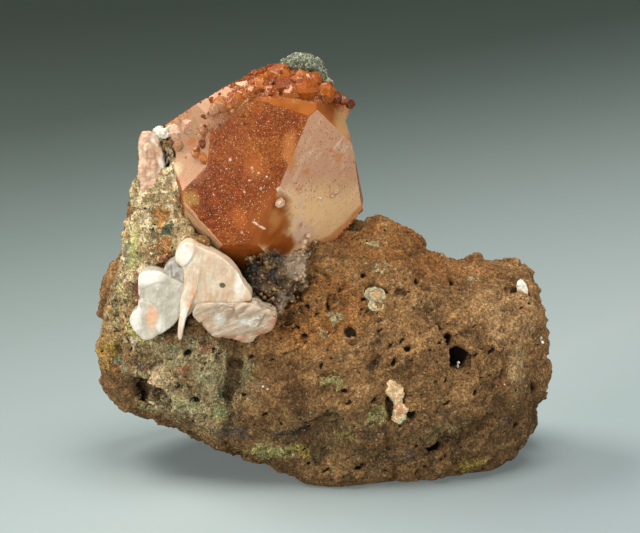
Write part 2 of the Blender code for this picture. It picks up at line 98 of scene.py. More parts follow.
def withMounds(piece, mounds):               # balls (centre and radius in mm) joined to a piece
    balls = []
    for centre, radius in mounds:
        bpy.ops.mesh.primitive_ico_sphere_add(subdivisions=3, radius=radius * mm, location=Vector(centre) * mm)
        balls.append(bpy.context.view_layer.objects.active)
    return joined([piece] + balls, piece.name)


def dressed(piece, material, slot, *nodes):  # finish, body and the nodes it stands for
    piece.data.materials.clear()
    piece.data.materials.append(material)
    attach(piece, "root")
    if nodes:
        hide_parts(*nodes)
    return piece


# steps for building node trees, shader and geometry alike

def put(tree, kind, inputs=None, **settings):
    made = tree.nodes.new(kind)
    for name, value in settings.items():
        setattr(made, name, value)
    for name, value in (inputs or {}).items():
        if isinstance(value, bpy.types.NodeSocket):
            tree.links.new(value, made.inputs[name])
        else:
            made.inputs[name].default_value = value
    return made


def maths(tree, operation, first, second=0.0, clamp=False):
    return put(tree, "ShaderNodeMath", {0: first, 1: second}, operation=operation, use_clamp=clamp).outputs[0]


def folded(tree, operation, values):
    total = values[0]
    for value in values[1:]:
        total = maths(tree, operation, total, value)
    return total


def added(tree, *terms):
    return folded(tree, "ADD", terms)


def times(tree, *factors):
    return folded(tree, "MULTIPLY", factors)


def largest(tree, *values):
    return folded(tree, "MAXIMUM", values)


def span(tree, value, low, high, toLow=0.0, toHigh=1.0):
    return put(tree, "ShaderNodeMapRange", {"Value": value, "From Min": low, "From Max": high,
                                            "To Min": toLow, "To Max": toHigh},
               interpolation_type="SMOOTHSTEP").outputs[0]


def vectorMaths(tree, operation, first, second):
    return put(tree, "ShaderNodeVectorMath", {0: first, 1: second}, operation=operation).outputs[0]


def scaled(tree, vector, factor):
    return put(tree, "ShaderNodeVectorMath", {0: vector, "Scale": factor}, operation="SCALE").outputs[0]


def lengthOf(tree, vector):
    return put(tree, "ShaderNodeVectorMath", {0: vector}, operation="LENGTH").outputs["Value"]


def axesOf(tree, vector):
    return put(tree, "ShaderNodeSeparateXYZ", {0: vector}).outputs


def vectorOf(tree, x, y, z):
    return put(tree, "ShaderNodeCombineXYZ", {0: x, 1: y, 2: z}).outputs[0]


def stretched(tree, vector, turn, stretch):  # turned by degrees, then drawn out along its axes
    turned = put(tree, "ShaderNodeVectorRotate",
                 {"Vector": vector, "Rotation": [math.radians(angle) for angle in turn]},
                 rotation_type="EULER_XYZ").outputs[0]
    return vectorMaths(tree, "DIVIDE", turned, stretch)


def noiseAt(tree, vector, size, detail=3.0, rough=0.55):       # size in mm, gives 0 to 1
    return put(tree, "ShaderNodeTexNoise", {
        "Vector": vector, "Scale": 1.0 / size, "Detail": detail, "Roughness": rough}).outputs[0]


def centredNoise(tree, vector, size, height, detail=3.0, rough=0.55):   # about -height to height
    level = maths(tree, "SUBTRACT", noiseAt(tree, vector, size, detail, rough), 0.5)
    return maths(tree, "MULTIPLY", level, 3.0 * height)


def wobbled(tree, vector, size, reach):      # a place shifted by noise, up to about reach in mm
    noise = put(tree, "ShaderNodeTexNoise", {"Vector": vector, "Scale": 1.0 / size, "Detail": 3.0})
    shift = vectorMaths(tree, "SUBTRACT", noise.outputs["Color"], (0.5, 0.5, 0.5))
    return vectorMaths(tree, "ADD", vector, scaled(tree, shift, 3.0 * reach))


def cellsAt(tree, vector, size, feature="F1"):
    return put(tree, "ShaderNodeTexVoronoi", {"Vector": vector, "Scale": 1.0 / size}, feature=feature)


def spotsAt(tree, vector, size, share, radius, soft=0.5):      # random round spots, 1 at their middles
    cells = cellsAt(tree, vector, size)
    dice = axesOf(tree, cells.outputs["Color"])
    reach = maths(tree, "MULTIPLY_ADD", dice[1], 0.8)
    reach.node.inputs[2].default_value = 0.6
    away = maths(tree, "DIVIDE", cells.outputs["Distance"], times(tree, reach, radius / size))
    return times(tree, span(tree, away, 1.0, 1.0 - soft), maths(tree, "LESS_THAN", dice[0], share))


def stepsAt(tree, vector, size, height, soft=0.2):             # broken faces, each at its own height
    cells = put(tree, "ShaderNodeTexVoronoi", {"Vector": vector, "Scale": 1.0 / size, "Smoothness": soft},
                feature="SMOOTH_F1")
    level = axesOf(tree, cells.outputs["Color"])[0]
    return times(tree, maths(tree, "SUBTRACT", level, 0.5), 2.0 * height)


def patchAt(tree, place, centre, reach, edge=0.45):            # 1 inside an ellipsoid, 0 outside it
    away = vectorMaths(tree, "DIVIDE", vectorMaths(tree, "SUBTRACT", place, centre), reach)
    return span(tree, lengthOf(tree, away), 1.0, edge)


def strokeAt(tree, place, points, reach):    # 1 on a path of straight strokes, falling to 0 at its reach
    masks = []
    for start, end in zip(points, points[1:]):
        path = Vector(end) - Vector(start)
        off = vectorMaths(tree, "SUBTRACT", place, start)
        along = put(tree, "ShaderNodeVectorMath", {0: off, 1: path / path.length_squared},
                    operation="DOT_PRODUCT").outputs["Value"]
        nearest = scaled(tree, path, maths(tree, "MULTIPLY", along, 1.0, clamp=True))
        away = lengthOf(tree, vectorMaths(tree, "SUBTRACT", off, nearest))
        masks.append(maths(tree, "SUBTRACT", 1.0, maths(tree, "DIVIDE", away, reach), clamp=True))
    return largest(tree, *masks)


def crestsAt(tree, vector, size, height):    # sharp crests between shallow hollows
    level = maths(tree, "ABSOLUTE", maths(tree, "SUBTRACT", noiseAt(tree, vector, size, 4.0, 0.6), 0.5))
    return times(tree, maths(tree, "SUBTRACT", 0.10, level), 4.0 * height)


def colour(red, green, blue):
    return red, green, blue, 1.0


def blended(tree, factor, first, second, blend="MIX"):
    made = put(tree, "ShaderNodeMix", {0: factor, 6: first, 7: second}, data_type="RGBA", blend_type=blend)
    return made.outputs[2]


def between(tree, factor, tints):            # a colour between two tints
    return blended(tree, factor, *[colour(*tint) for tint in tints])


def tinted(tree, base, tint, *factors):      # a tint laid over the base, where the factors let it show
    return blended(tree, times(tree, *factors), base, colour(*tint))


def toned(tree, base, strength, tone, tints):                  # multiplied by a tone between two tints
    return blended(tree, strength, base, between(tree, tone, tints), "MULTIPLY")


def rampOf(tree, value, stops):
    made = put(tree, "ShaderNodeValToRGB", {0: value})
    points = made.color_ramp.elements
    while len(points) < len(stops):
        points.new(0.5)
    for point, (place, tint) in zip(points, stops):
        point.position = place
        point.color = colour(*tint)
    return made.outputs["Color"]


# the skin of a piece is worked up in a geometry tree, which is then applied

def skinTree(name):
    tree = bpy.data.node_groups.new(name, "GeometryNodeTree")
    tree.interface.new_socket("Geometry", in_out="INPUT", socket_type="NodeSocketGeometry")
    tree.interface.new_socket("Geometry", in_out="OUTPUT", socket_type="NodeSocketGeometry")
    shape = put(tree, "NodeGroupInput").outputs[0]
    place = scaled(tree, put(tree, "GeometryNodeInputPosition").outputs[0], 1.0 / mm)
    return tree, shape, place


def stored(tree, shape, name, value, kind="FLOAT"):
    return put(tree, "GeometryNodeStoreNamedAttribute", {"Geometry": shape, "Name": name, "Value": value},
               data_type=kind).outputs[0]


def closeSkin(tree, shape, lift, rest=None, **marks):          # lift is along the normal in mm
    normal = put(tree, "GeometryNodeInputNormal").outputs[0]
    offset = scaled(tree, vectorMaths(tree, "MULTIPLY", normal, vectorOf(tree, lift, lift, lift)), mm)
    for name, value in marks.items():        # marks are kept for the finish
        shape = stored(tree, shape, name, value)
    if rest:                                 # so is the place before the lift
        shape = stored(tree, shape, "rest", rest, "FLOAT_VECTOR")
    shape = put(tree, "GeometryNodeSetPosition", {"Geometry": shape, "Offset": offset}).outputs[0]
    axes = axesOf(tree, put(tree, "GeometryNodeInputPosition").outputs[0])
    kept = vectorOf(tree, axes[0], axes[1], maths(tree, "MAXIMUM", axes[2], 0.0))      # never below the floor
    shape = put(tree, "GeometryNodeSetPosition", {"Geometry": shape, "Position": kept}).outputs[0]
    tree.links.new(shape, put(tree, "NodeGroupOutput").inputs[0])
    return tree


# effects shared by the finishes, as shader groups that give masks and values

def newEffect(name, inputs, outputs, valuesOf):
    tree = bpy.data.node_groups.new(name, "ShaderNodeTree")
    for label, kind in inputs:
        tree.interface.new_socket(label, in_out="INPUT", socket_type="NodeSocket" + kind)
    for label in outputs:
        tree.interface.new_socket(label, in_out="OUTPUT", socket_type="NodeSocketFloat")
    given = put(tree, "NodeGroupInput").outputs
    result = put(tree, "NodeGroupOutput").inputs
    for label, value in zip(outputs, valuesOf(tree, *[given[label] for label, kind in inputs])):
        tree.links.new(value, result[label])
    return tree


def patchValues(tree, place, centre, reach, edge):
    return [patchAt(tree, place, centre, reach, edge)]


def grainValues(tree, place, size):          # tone for the colour, height for the bump
    place = scaled(tree, place, maths(tree, "DIVIDE", 1.0, size))
    coarse = noiseAt(tree, place, 2.0, 4.0, 0.7)
    cells = cellsAt(tree, wobbled(tree, place, 2.0, 0.4), 1.0)
    dice = axesOf(tree, cells.outputs["Color"])
    tone = span(tree, added(tree, coarse, times(tree, dice[0], 0.35)), 0.35, 1.0)
    return tone, added(tree, times(tree, coarse, 0.8), times(tree, cells.outputs["Distance"], -0.5),
                       times(tree, dice[1], 0.3))


def speckValues(tree, place, size, share):
    place = scaled(tree, place, maths(tree, "DIVIDE", 1.0, size))
    cells = cellsAt(tree, wobbled(tree, place, 1.0, 0.2), 1.0)
    dice = axesOf(tree, cells.outputs["Color"])
    return [times(tree, span(tree, cells.outputs["Distance"], 0.45, 0.25),
                  maths(tree, "LESS_THAN", dice[0], share))]


def reliefValues(tree, width):               # raised edges and sunk places, from the shape itself, which the finishes use for painted highlight and painted shade
    level = put(tree, "ShaderNodeNewGeometry").outputs["Pointiness"]
    high = maths(tree, "DIVIDE", maths(tree, "SUBTRACT", level, 0.5), width)
    return span(tree, high, 0.1, 1.0), span(tree, high, -0.1, -1.0)


placeInput, sizeInput = ("Place", "Vector"), ("Size", "Float")
effects = {
    "patch": newEffect("Patch", (placeInput, ("Centre", "Vector"), ("Reach", "Vector"), ("Edge", "Float")),
                       ("Mask",), patchValues),
    "grain": newEffect("Sandy grain", (placeInput, sizeInput), ("Tone", "Height"), grainValues),
    "speck": newEffect("Specks", (placeInput, sizeInput, ("Share", "Float")), ("Mask",), speckValues),
    "relief": newEffect("Edges and hollows", (("Width", "Float"),), ("Edge", "Hollow"), reliefValues),
}


def effect(tree, name, **inputs):
    made = tree.nodes.new("ShaderNodeGroup")
    made.node_tree = effects[name]
    for label, value in inputs.items():
        socket = made.inputs[label.capitalize()]
        if isinstance(value, bpy.types.NodeSocket):
            tree.links.new(value, socket)
        else:
            socket.default_value = value
    return made.outputs


def specksAt(tree, place, size, share):
    return effect(tree, "speck", place=place, size=size, share=share)["Mask"]


def newFinish(name, **settings):             # a material with its shader, and the place in mm
    material = bpy.data.materials.new(name)
    material.use_nodes = True
    tree = material.node_tree
    shader = tree.nodes["Principled BSDF"]
    for label, value in settings.items():
        shader.inputs[label.replace("_", " ")].default_value = value
    place = scaled(tree, put(tree, "ShaderNodeTexCoord").outputs["Object"], 1.0 / mm)
    return material, tree, shader, place


def mark(tree, name):
    return put(tree, "ShaderNodeAttribute", attribute_name=name).outputs["Fac"]


def patchesOf(tree, place, patches, edge=0.45):
    return largest(tree, *[effect(tree, "patch", place=place, centre=centre, reach=reach, edge=edge)["Mask"]
                           for centre, reach in patches])


def painted(tree, base, place, patches, strength=1.0, edge=0.45):        # each a colour and its places
    for tint, places in patches:
        base = tinted(tree, base, tint, patchesOf(tree, place, places, edge), strength)
    return base


def crusted(tree, base, place, patches, size=1.5, strength=0.92):        # crusts with edges broken by noise
    broken = times(tree, maths(tree, "SUBTRACT", noiseAt(tree, place, size, 5.0, 0.75), 0.5), 2.4)
    for tint, places in patches:
        mask = span(tree, added(tree, patchesOf(tree, place, places, 0.0), broken), 0.34, 0.48)
        base = tinted(tree, base, tint, mask, strength)
    return base


def mixed(tree, base, place, mixes, strength=0.85):            # small patches of tints, each with its noise
    shift = 0.0
    for places, tints in mixes:
        within = patchesOf(tree, wobbled(tree, place, 4.0, 1.5), places, 0.7)
        for tint, size, level in tints:
            shift += 17.0                    # far enough for a new noise
            moved = vectorMaths(tree, "ADD", place, (shift, 0.0, 0.0))
            mask = span(tree, noiseAt(tree, moved, size, 5.0, 0.7), level, level + 0.05)
            base = tinted(tree, base, tint, mask, within, strength)
    return base


def flecked(tree, base, place, patches, size, share, strength=0.85):     # flecks, thick inside each patch
    flecks = noiseAt(tree, place, size, 5.0, 0.7)
    for tint, places in patches:
        thick = times(tree, patchesOf(tree, place, places), share)
        base = tinted(tree, base, tint, span(tree, added(tree, thick, flecks), 0.74, 0.92), strength)
    return base


def veined(tree, base, place, lines, low, strength):           # each a colour, its path and reach
    for tint, path, reach in lines:
        line = span(tree, strokeAt(tree, place, path, reach), low, 0.6, 0.0, strength)
        base = tinted(tree, base, tint, line)
    return base


def bumped(tree, shader, height, depth, strength=1.0):         # depth in mm
    bump = put(tree, "ShaderNodeBump", {"Height": height, "Distance": depth * mm, "Strength": strength})
    tree.links.new(bump.outputs[0], shader.inputs["Normal"])
    return bump


def link(tree, value, shader, label):
    tree.links.new(value, shader.inputs[label])


# basalt: the rock that everything grew on

rock = {
    "voxel": 0.36, "smoothing": 1,
    "triangles": 195000,                     # kept after the skin is worked up
    "crust": (                               # outlines (x, z), front and back y, lean, bevel
        (((-31.9, 47), (-31.9, 51), (-31.7, 53.6), (-30.8, 54.4), (-29.4, 52.4), (-28.2, 51.4),
            (-27.6, 53.4), (-27.6, 56), (-28, 58.4), (-27.2, 59.8), (-25.8, 59), (-24.6, 56.4),
            (-23.8, 53.8), (-24.6, 50.6), (-24.4, 48.6), (-23, 46.2), (-21.4, 44), (-20.2, 42.2),
            (-21, 39.6), (-25, 38), (-30, 40)), -12.9, -6, (-0.4, 0.28), 0.9),
        (((0.2, 1.2), (1.6, 0), (4.4, 0), (5.6, 1.6), (4.2, 3.6), (1.4, 3.8)), -17.2, -12, (0, -0.3),
            0.9),
    ),
    "lumps": (12, 0.6),                      # wavelength and height of each layer of relief
    "clods": (4, 0.36), "crumbs": (1.6, 0.2), "grit": (0.7, 0.13),
    "breaks": ((9, 0.9), (4.2, 0.48), (2, 0.2)),  # broken faces: size and height
    "crests": ((7, 0.8), (2.6, 0.28), (1.3, 0.1)),
    "flow": ((0, 38, 0), (3.2, 1.3, 0.9)),   # the lava's flow: its turn, and how it draws things out
    "baseBand": (0, 0.9),                    # heights over which the cut face stays flat
    "pores": (                               # cell size, share, radius, depth, turn, draw
        (4.2, 0.32, 0.62, 1.1, (0, 35, 0), (1.7, 1, 0.6)),
        (2.2, 0.46, 0.36, 0.8, (0, 40, 0), (1.9, 1, 0.6)),
        (1.1, 0.42, 0.2, 0.4, (0, 20, 0), (1.6, 1, 0.7)),
    ),
    "pits": (                                # centre, reach and depth of the larger holes
        ((23, -12.6, 23), (2.7, 8, 2.4), 1.6), ((21.5, -15.7, 26), (0.7, 2, 1.5), 1.2),
        ((20.3, -15.9, 28.1), (0.7, 1.6, 0.7), 1.2), ((4.5, -16.8, 27.2), (1.5, 2, 0.9), 1.3),
        ((16.4, -11, 35.3), (0.8, 1.6, 0.6), 1.2), ((22.6, -1.8, 33.5), (0.7, 1.6, 1.6), 1.3),
        ((14.3, -18.9, 25), (0.9, 1.6, 0.6), 1.2), ((12, -19.8, 22.6), (0.5, 1.6, 0.9), 1.1),
        ((1, -13, 31.6), (0.6, 2, 1.9), 1.1), ((6.8, -11.1, 36.1), (1, 1.6, 0.5), 1),
        ((-2.8, -13.4, 31.1), (0.6, 1.6, 0.5), 0.9), ((-4.7, -15.1, 27.8), (0.6, 1.6, 0.5), 0.9),
        ((-3.2, -15.4, 26.2), (0.9, 1.6, 0.7), 1.2), ((3.3, -20.2, 17.6), (1, 1.6, 0.5), 1),
        ((26.6, -10.1, 29.1), (0.7, 1.6, 0.8), 1.2), ((28.7, -14.8, 23.6), (0.5, 1.4, 0.5), 0.9),
        ((-0.4, -19.2, 21.9), (0.6, 1.6, 0.9), 0.9), ((26.6, -17.5, 16.7), (0.9, 1.8, 0.8), 1.3),
        ((14.9, -18.7, 13.4), (1.1, 2, 1), 1.4), ((18.6, -14.8, 6.9), (2.2, 3, 1.7), 2.4),
        ((36.3, -7.5, 14.9), (0.7, 1.8, 1.4), 1.2), ((34.4, -10.6, 8.8), (0.9, 1.8, 0.8), 1),
        ((20.7, -18.1, 19), (0.5, 1.4, 0.5), 0.8), ((-22, -16.3, 15.1), (0.8, 1.6, 0.5), 1),
        ((-12.4, -14.3, 22.4), (0.6, 1.4, 0.5), 0.9), ((-6.5, -14.2, 22.9), (0.5, 1.4, 0.5), 0.9),
        ((-8.7, -14.9, 21.7), (0.5, 1.4, 0.4), 0.8), ((-23.4, -17.1, 23.7), (0.9, 1.8, 0.8), 1.2),
        ((-25.6, -12.2, 57), (0.9, 2, 0.8), 1), ((-27.2, -11.4, 55.4), (0.8, 2, 0.7), 1),
        ((-12.9, -14, 35.5), (2, 3, 3), 1.5),
    ),
    "cavities": (                            # the same for broad hollows, whose painted shade is dark brown, not black
        ((-31, -13, 16), (5.6, 7, 2.2), 3), ((-28, -14.8, 14.2), (2.6, 5, 2), 2.2),
        ((-32.6, -12, 15), (2, 4, 1.4), 1.2),
    ),
    "strokes": (                             # ridges and furrows: path, reach and height
        (((-0.6, -19.5, 21.3), (2.7, -16.9, 26.2), (6.3, -14.7, 30), (13.5, -13.2, 32.1),
            (18.4, -11.9, 32.9), (24.3, -8.4, 31.5), (27.6, -10.6, 29.7), (28.8, -13.8, 26.2)), 3, 1.1),
        (((23.4, -15.1, 8.1), (28.6, -14.5, 11.6)), 1.2, -1.1),
        (((22, -16.5, 9.8), (29, -14.5, 13.5)), 1, 0.6),
        (((-15.7, -12.2, 23.5), (-15.9, -14.2, 15.2)), 2, -0.9),
        (((-36, -9.5, 19), (-27, -15, 19)), 1.4, 0.9),
        (((2.5, -12.5, 33.7), (5.5, -12, 35.4)), 0.8, -0.8),
        (((31, -9.3, 30.2), (32.2, -9, 29.4)), 0.6, -0.6),
        (((-4, -16.8, 22.3), (4.5, -16.2, 27.5)), 1.6, 0.6),
        (((-12.5, -16, 14), (-3, -18.5, 19.5)), 1.4, 0.7), (((9, -19, 8), (18, -17.5, 12.5)), 1.6, 0.7),
        (((31.5, -13, 27), (33, -12.5, 15)), 1.8, 0.6), (((-6, -18, 8.5), (4, -19, 12)), 1.4, -0.6),
    ),
}
rockColours = {
    # pore, cavity and edge are painted light: near-black shade in pits and pores, dark shade in broad hollows,
    # a highlight multiplied onto raised edges
    "dark": (0.074, 0.04, 0.017), "brown": (0.215, 0.122, 0.052), "tan": (0.34, 0.206, 0.096),
    "grey": (0.108, 0.07, 0.033), "pale": (0.6, 0.47, 0.28), "pore": (0.01, 0.006, 0.003),
    "cavity": (0.045, 0.028, 0.018), "edge": (1.7, 1.6, 1.45),
}
rockLook = {
    "grain": (0.29, 0.95, ((0.56, 0.52, 0.46), (1.82, 1.74, 1.58))),     # size, strength, dark and light
    "fine": (0.18, 0.7, ((0.5, 0.47, 0.45), (1.5, 1.45, 1.35))),
    "broad": (6.5, 0.9, ((0.72, 0.66, 0.59), (1.5, 1.47, 1.42))),
    "specks": (("pale", 0.75, 0.07, 0.45), ("dark", 0.42, 0.18, 0.7)),   # colour, size, share, strength
    "foot": (24.0, 6.0, 0.0, 0.55),          # heights between which the stone turns greyer and darker towards the bottom, and how far: partly its own grey, partly painted shade
    "low": (0.2, -1.8, 0.0, 0.6),            # the same for relief in mm that turns it dark: painted shade in the low places
    # hollow, edge and pores are the strengths of painted shade in hollows, painted highlight on raised edges
    # and painted shade in holes
    "reliefWidth": 0.11, "hollow": 0.75, "edge": 0.8, "pores": 0.94, "fleckSize": 0.8, "fleckShare": 0.37,
    "bump": 0.55, "fineBump": 0.6, "clodBump": 3.0,
}
rockPatches = (                              # broad tints, then places (centre and reach)
    ((0.27, 0.125, 0.04), (((-3, -13, 31), (15, 12, 10)), ((16, 0, 38), (26, 16, 8)))),
    ((0.5, 0.41, 0.25), (((-30.5, -10, 50), (7, 9, 12)), ((-33.5, -9, 39), (6, 8, 10)),
        ((-25, -14, 46), (5, 6, 9)))),
    ((0.33, 0.23, 0.105), (((-36, -9, 27), (6, 8, 8)),)),
    ((0.255, 0.195, 0.1), (((-24, -15, 17), (15, 8, 13)),)),
    # lighter on the right side: partly its own pinkish tone, partly painted light
    ((0.34, 0.215, 0.11), (((31, -8, 27), (9, 12, 9)),)),
    ((0.32, 0.23, 0.125), (((33.4, -12, 19), (2.4, 5, 6)), ((-11.5, -16.5, 15.5), (3, 4, 4)))),
    # darker low on the front: partly its own colour, partly painted shade
    ((0.13, 0.09, 0.042), (((20, -18, 10.5), (9, 5, 3.5)), ((0, -19, 9), (14, 5, 7)))),
)
rockCrusts = (                               # ragged crusts, laid over each other in this order
    ((0.52, 0.5, 0.25), (((-32.8, -9, 41.5), (2.2, 4, 5.5)), ((-34, -8.8, 33.5), (2.2, 4, 4)),
        ((-33.6, -10, 37), (2.6, 4, 2)))),
    ((0.82, 0.74, 0.54), (((-31.2, -9.6, 50.5), (1.8, 4, 5)), ((-30.2, -11.3, 45.2), (1.7, 4, 4.6)),
        ((-26.2, -11.5, 56), (3, 5, 3.4)), ((-24.9, -13, 52.6), (2, 4, 3.6)),
        ((-33.6, -10.2, 35.4), (2.4, 4, 2.4)), ((-31.3, -11.8, 37.4), (2.8, 4, 1.8)))),
    ((0.56, 0.37, 0.25), (((-25.6, -11.8, 49.8), (1.6, 4, 2.8)),)),
    ((0.42, 0.19, 0.055), (((-27.6, -12.4, 47.2), (2.4, 4, 2.4)), ((-27, -14, 41.8), (2.2, 4, 3)),
        ((-38, -7.6, 22), (2.2, 4, 4)))),
    ((0.42, 0.2, 0.12), (((-27, -13.8, 39.6), (2.6, 3, 1.4)), ((-30.6, -12.8, 35.6), (2, 4, 2.2)),
        ((-32, -12.2, 32.4), (2, 4, 2.6)), ((-24.4, -17, 21), (1.8, 3, 1.6)),
        ((-19.8, -17, 24.2), (2, 3, 1.2)), ((30.6, -14, 18.1), (1.2, 3, 1.4)))),
    ((0.15, 0.18, 0.13), (((-28.4, -10.6, 50.3), (2, 3, 2.6)), ((-34.2, -6.8, 38.5), (1.8, 3, 3)))),
    ((0.07, 0.1, 0.07), (((-26.6, -14.2, 44.6), (2.4, 3, 1.5)), ((-28.9, -12.2, 44.8), (1.4, 3, 1)),
        ((8.2, 1.5, 41.4), (2, 3, 1.4)))),
    ((0.54, 0.44, 0.29), (((-24, -15.4, 43), (2, 4, 3.4)), ((-28.6, -15, 19.6), (3.6, 4, 2)))),
    ((0.48, 0.34, 0.23), (((-28.2, -15.2, 18.2), (3.4, 3, 1.1)), ((-11.6, -16.6, 16), (2.2, 3, 2.4)))),
    ((0.215, 0.285, 0.2), (((-26, -16.4, 24.4), (3, 4, 1.6)), ((-20.2, -17, 19.6), (2.8, 4, 1.8)),
        ((-22.6, -17.2, 26), (1.6, 4, 1.4)), ((-17.6, -16.8, 16.2), (1.4, 4, 1.8)),
        ((-35.4, -10, 20.6), (1.3, 3, 2.4)))),
    ((0.28, 0.31, 0.16), (((-13.2, -13.6, 19), (1.6, 3, 3)), ((-18, -16.6, 13), (3, 3, 2.6)),
        ((-24, -16.6, 14.4), (3.4, 4, 2)), ((-31, -12.6, 11.8), (4, 4, 2)))),
    ((0.38, 0.39, 0.26), (((1.6, -14.4, 29.6), (3.4, 3, 1)), ((9.8, -9.7, 37.4), (4.4, 3, 1.3)),
        ((5.2, 1, 41.4), (3, 3, 1.2)), ((9, -4.5, 40.6), (3.4, 3, 1.2)), ((27, -2, 33.5), (3, 3, 1)),
        ((-0.2, -16.6, 26.6), (1.6, 3, 0.7)))),
    ((0.46, 0.33, 0.12), (((-38, -7.6, 20), (1.6, 3, 2.6)), ((-1.6, -19, 20.4), (2.4, 3, 0.8)))),
    ((0.6, 0.59, 0.57), (((-32.6, -12.2, 24.4), (1.3, 3, 2.2)),)),
    ((0.07, 0.058, 0.06), (((-31.6, -12.8, 27.2), (1.8, 3, 2.2)),)),
)
rockMixes = (                                # places, then tints in small patches: tint, size, noise level
    ((((-25, -15, 18), (13, 9, 12)), ((-33, -10, 32), (7, 9, 10))), (((0.215, 0.29, 0.2), 1.7, 0.57),
        ((0.4, 0.35, 0.205), 1.8, 0.5), ((0.4, 0.2, 0.115), 1.3, 0.56), ((0.54, 0.44, 0.29), 1.1, 0.56),
        ((0.04, 0.025, 0.014), 0.9, 0.54))),
    ((((-29, -11.5, 47), (6, 8, 10)), ((-34, -8, 41), (4, 8, 8))), (((0.4, 0.41, 0.24), 2, 0.53),
        ((0.74, 0.66, 0.47), 1.8, 0.51), ((0.43, 0.195, 0.07), 1.6, 0.56),
        ((0.09, 0.12, 0.085), 1.4, 0.59), ((0.06, 0.04, 0.024), 0.9, 0.59))),
    ((((8, -18, 9), (22, 8, 8)),), (((0.24, 0.185, 0.085), 2.4, 0.56), ((0.21, 0.105, 0.05), 1.9, 0.55),
        ((0.18, 0.185, 0.095), 1.6, 0.62), ((0.05, 0.036, 0.03), 1.6, 0.56))),
    ((((6, -8, 36), (24, 14, 9)),), (((0.33, 0.31, 0.165), 1.5, 0.63),
        ((0.09, 0.105, 0.065), 1.3, 0.65))),
)
rockFlecks = (
    ((0.38, 0.35, 0.215), (((-26, -16.5, 23.5), (7.5, 5, 4)), ((-18, -16.5, 20), (6, 5, 7)),
        ((-13.6, -13, 19.5), (2, 4, 4.5)), ((-25, -16, 14), (9, 5, 5)))),
    ((0.42, 0.44, 0.2), (((-33, -9, 40), (3, 5, 7)), ((-31, -12, 27), (5, 5, 5)),
        ((1.1, -19.7, 19), (2.5, 3, 1.6)), ((9.8, -19.4, 13.6), (4.5, 3, 4)),
        ((-8.5, -15.6, 5.6), (8, 5, 3)))),
    ((0.3, 0.26, 0.06), (((-4, -16.6, 6), (3.5, 4, 1.6)), ((26, -12.5, 2.6), (6, 5, 2)),
        ((-37.5, -8, 22.5), (3, 5, 2.5)), ((4, -19, 9.5), (3, 3, 1.2)))),
    ((0.055, 0.05, 0.06), (((-5.8, -17.5, 9.8), (6, 4, 2)), ((13.3, -17, 5.8), (6, 4, 1.4)),
        ((31.7, -13, 10.6), (3, 4, 1.2)), ((-32, -12.5, 20.5), (3.5, 5, 1.6)),
        ((9.7, -18.7, 9.4), (3, 3, 1.4)), ((-16, -16, 9), (6, 5, 3)))),
)


def poresAt(tree, place):                    # random pores, as masks with their depths
    place = wobbled(tree, place, 1.4, 0.35)
    return [(spotsAt(tree, stretched(tree, place, turn, draw), size, share, radius, 0.45), depth)
            for size, share, radius, depth, turn, draw in rock["pores"]]


def shapeRock():
    pieces = [copyOfNode("basalt_matrix", "rock")]
    pieces += [plateOf(*plate) for plate in rock["crust"]]
    piece = remeshed(joined(pieces, "rock"), rock["voxel"], rock["smoothing"])
    tree, shape, place = skinTree("Rock skin")
    bent = wobbled(tree, place, 6.0, 1.4)
    flowing = stretched(tree, bent, *rock["flow"])
    layers = [centredNoise(tree, bent, *rock["lumps"]), centredNoise(tree, flowing, *rock["clods"])]
    layers += [centredNoise(tree, place, *rock[name], 3.0, 0.6) for name in ("crumbs", "grit")]
    layers += [stepsAt(tree, bent, size, height, 0.12) for size, height in rock["breaks"]]
    layers += [crestsAt(tree, flowing, size, height) for size, height in rock["crests"]]
    ragged = wobbled(tree, place, 2.5, 0.7)
    layers += [times(tree, strokeAt(tree, ragged, path, reach), height)
               for path, reach, height in rock["strokes"]]
    pits = [(patchAt(tree, wobbled(tree, place, 1.6, 0.45), centre, reach, 0.4), depth)
            for centre, reach, depth in rock["pits"]]
    crooked = wobbled(tree, place, 1.8, 0.8)
    cavities = [(patchAt(tree, crooked, centre, reach, 0.3), depth)
                for centre, reach, depth in rock["cavities"]]
    pores = poresAt(tree, place)
    sunk = [times(tree, mask, -depth) for mask, depth in pores + cavities]
    sunk += [folded(tree, "MINIMUM", [times(tree, mask, -depth) for mask, depth in pits])]
    standing = span(tree, axesOf(tree, place)[2], *rock["baseBand"])
    relief = added(tree, *layers)
    lift = times(tree, added(tree, relief, *sunk), standing)
    pit, pore, cavity = [largest(tree, *[mask for mask, depth in holes]) for holes in (pits, pores, cavities)]
    closeSkin(tree, shape, lift, rest=place, pit=pit, relief=relief, cavity=cavity,
              hole=largest(tree, pit, pore))
    applyTree(piece, tree)
    return applyModifier(piece, "DECIMATE", ratio=min(1.0, rock["triangles"] / 2 / len(piece.data.polygons)))


def basaltColour(tree, place):
    stone = rampOf(tree, noiseAt(tree, place, 2.6, 6.0, 0.78),
                   [(0.26, rockColours["dark"]), (0.44, rockColours["brown"]), (0.76, rockColours["tan"])])
    height = axesOf(tree, wobbled(tree, place, 5.0, 2.5))[2]
    # greyer and darker towards the bottom: partly its own grey, partly painted shade
    stone = tinted(tree, stone, rockColours["grey"], span(tree, height, *rockLook["foot"]))
    ragged = wobbled(tree, wobbled(tree, place, 2.5, 1.8), 0.8, 0.6)
    flow = times(tree, noiseAt(tree, stretched(tree, place, *rock["flow"]), 1.4, 5.0, 0.7), 1.7)
    stone = painted(tree, stone, ragged, rockPatches, span(tree, flow, 0.45, 0.95))
    stone = mixed(tree, stone, place, rockMixes)
    stone = crusted(tree, stone, ragged, rockCrusts)
    return flecked(tree, stone, ragged, rockFlecks, rockLook["fleckSize"], rockLook["fleckShare"])


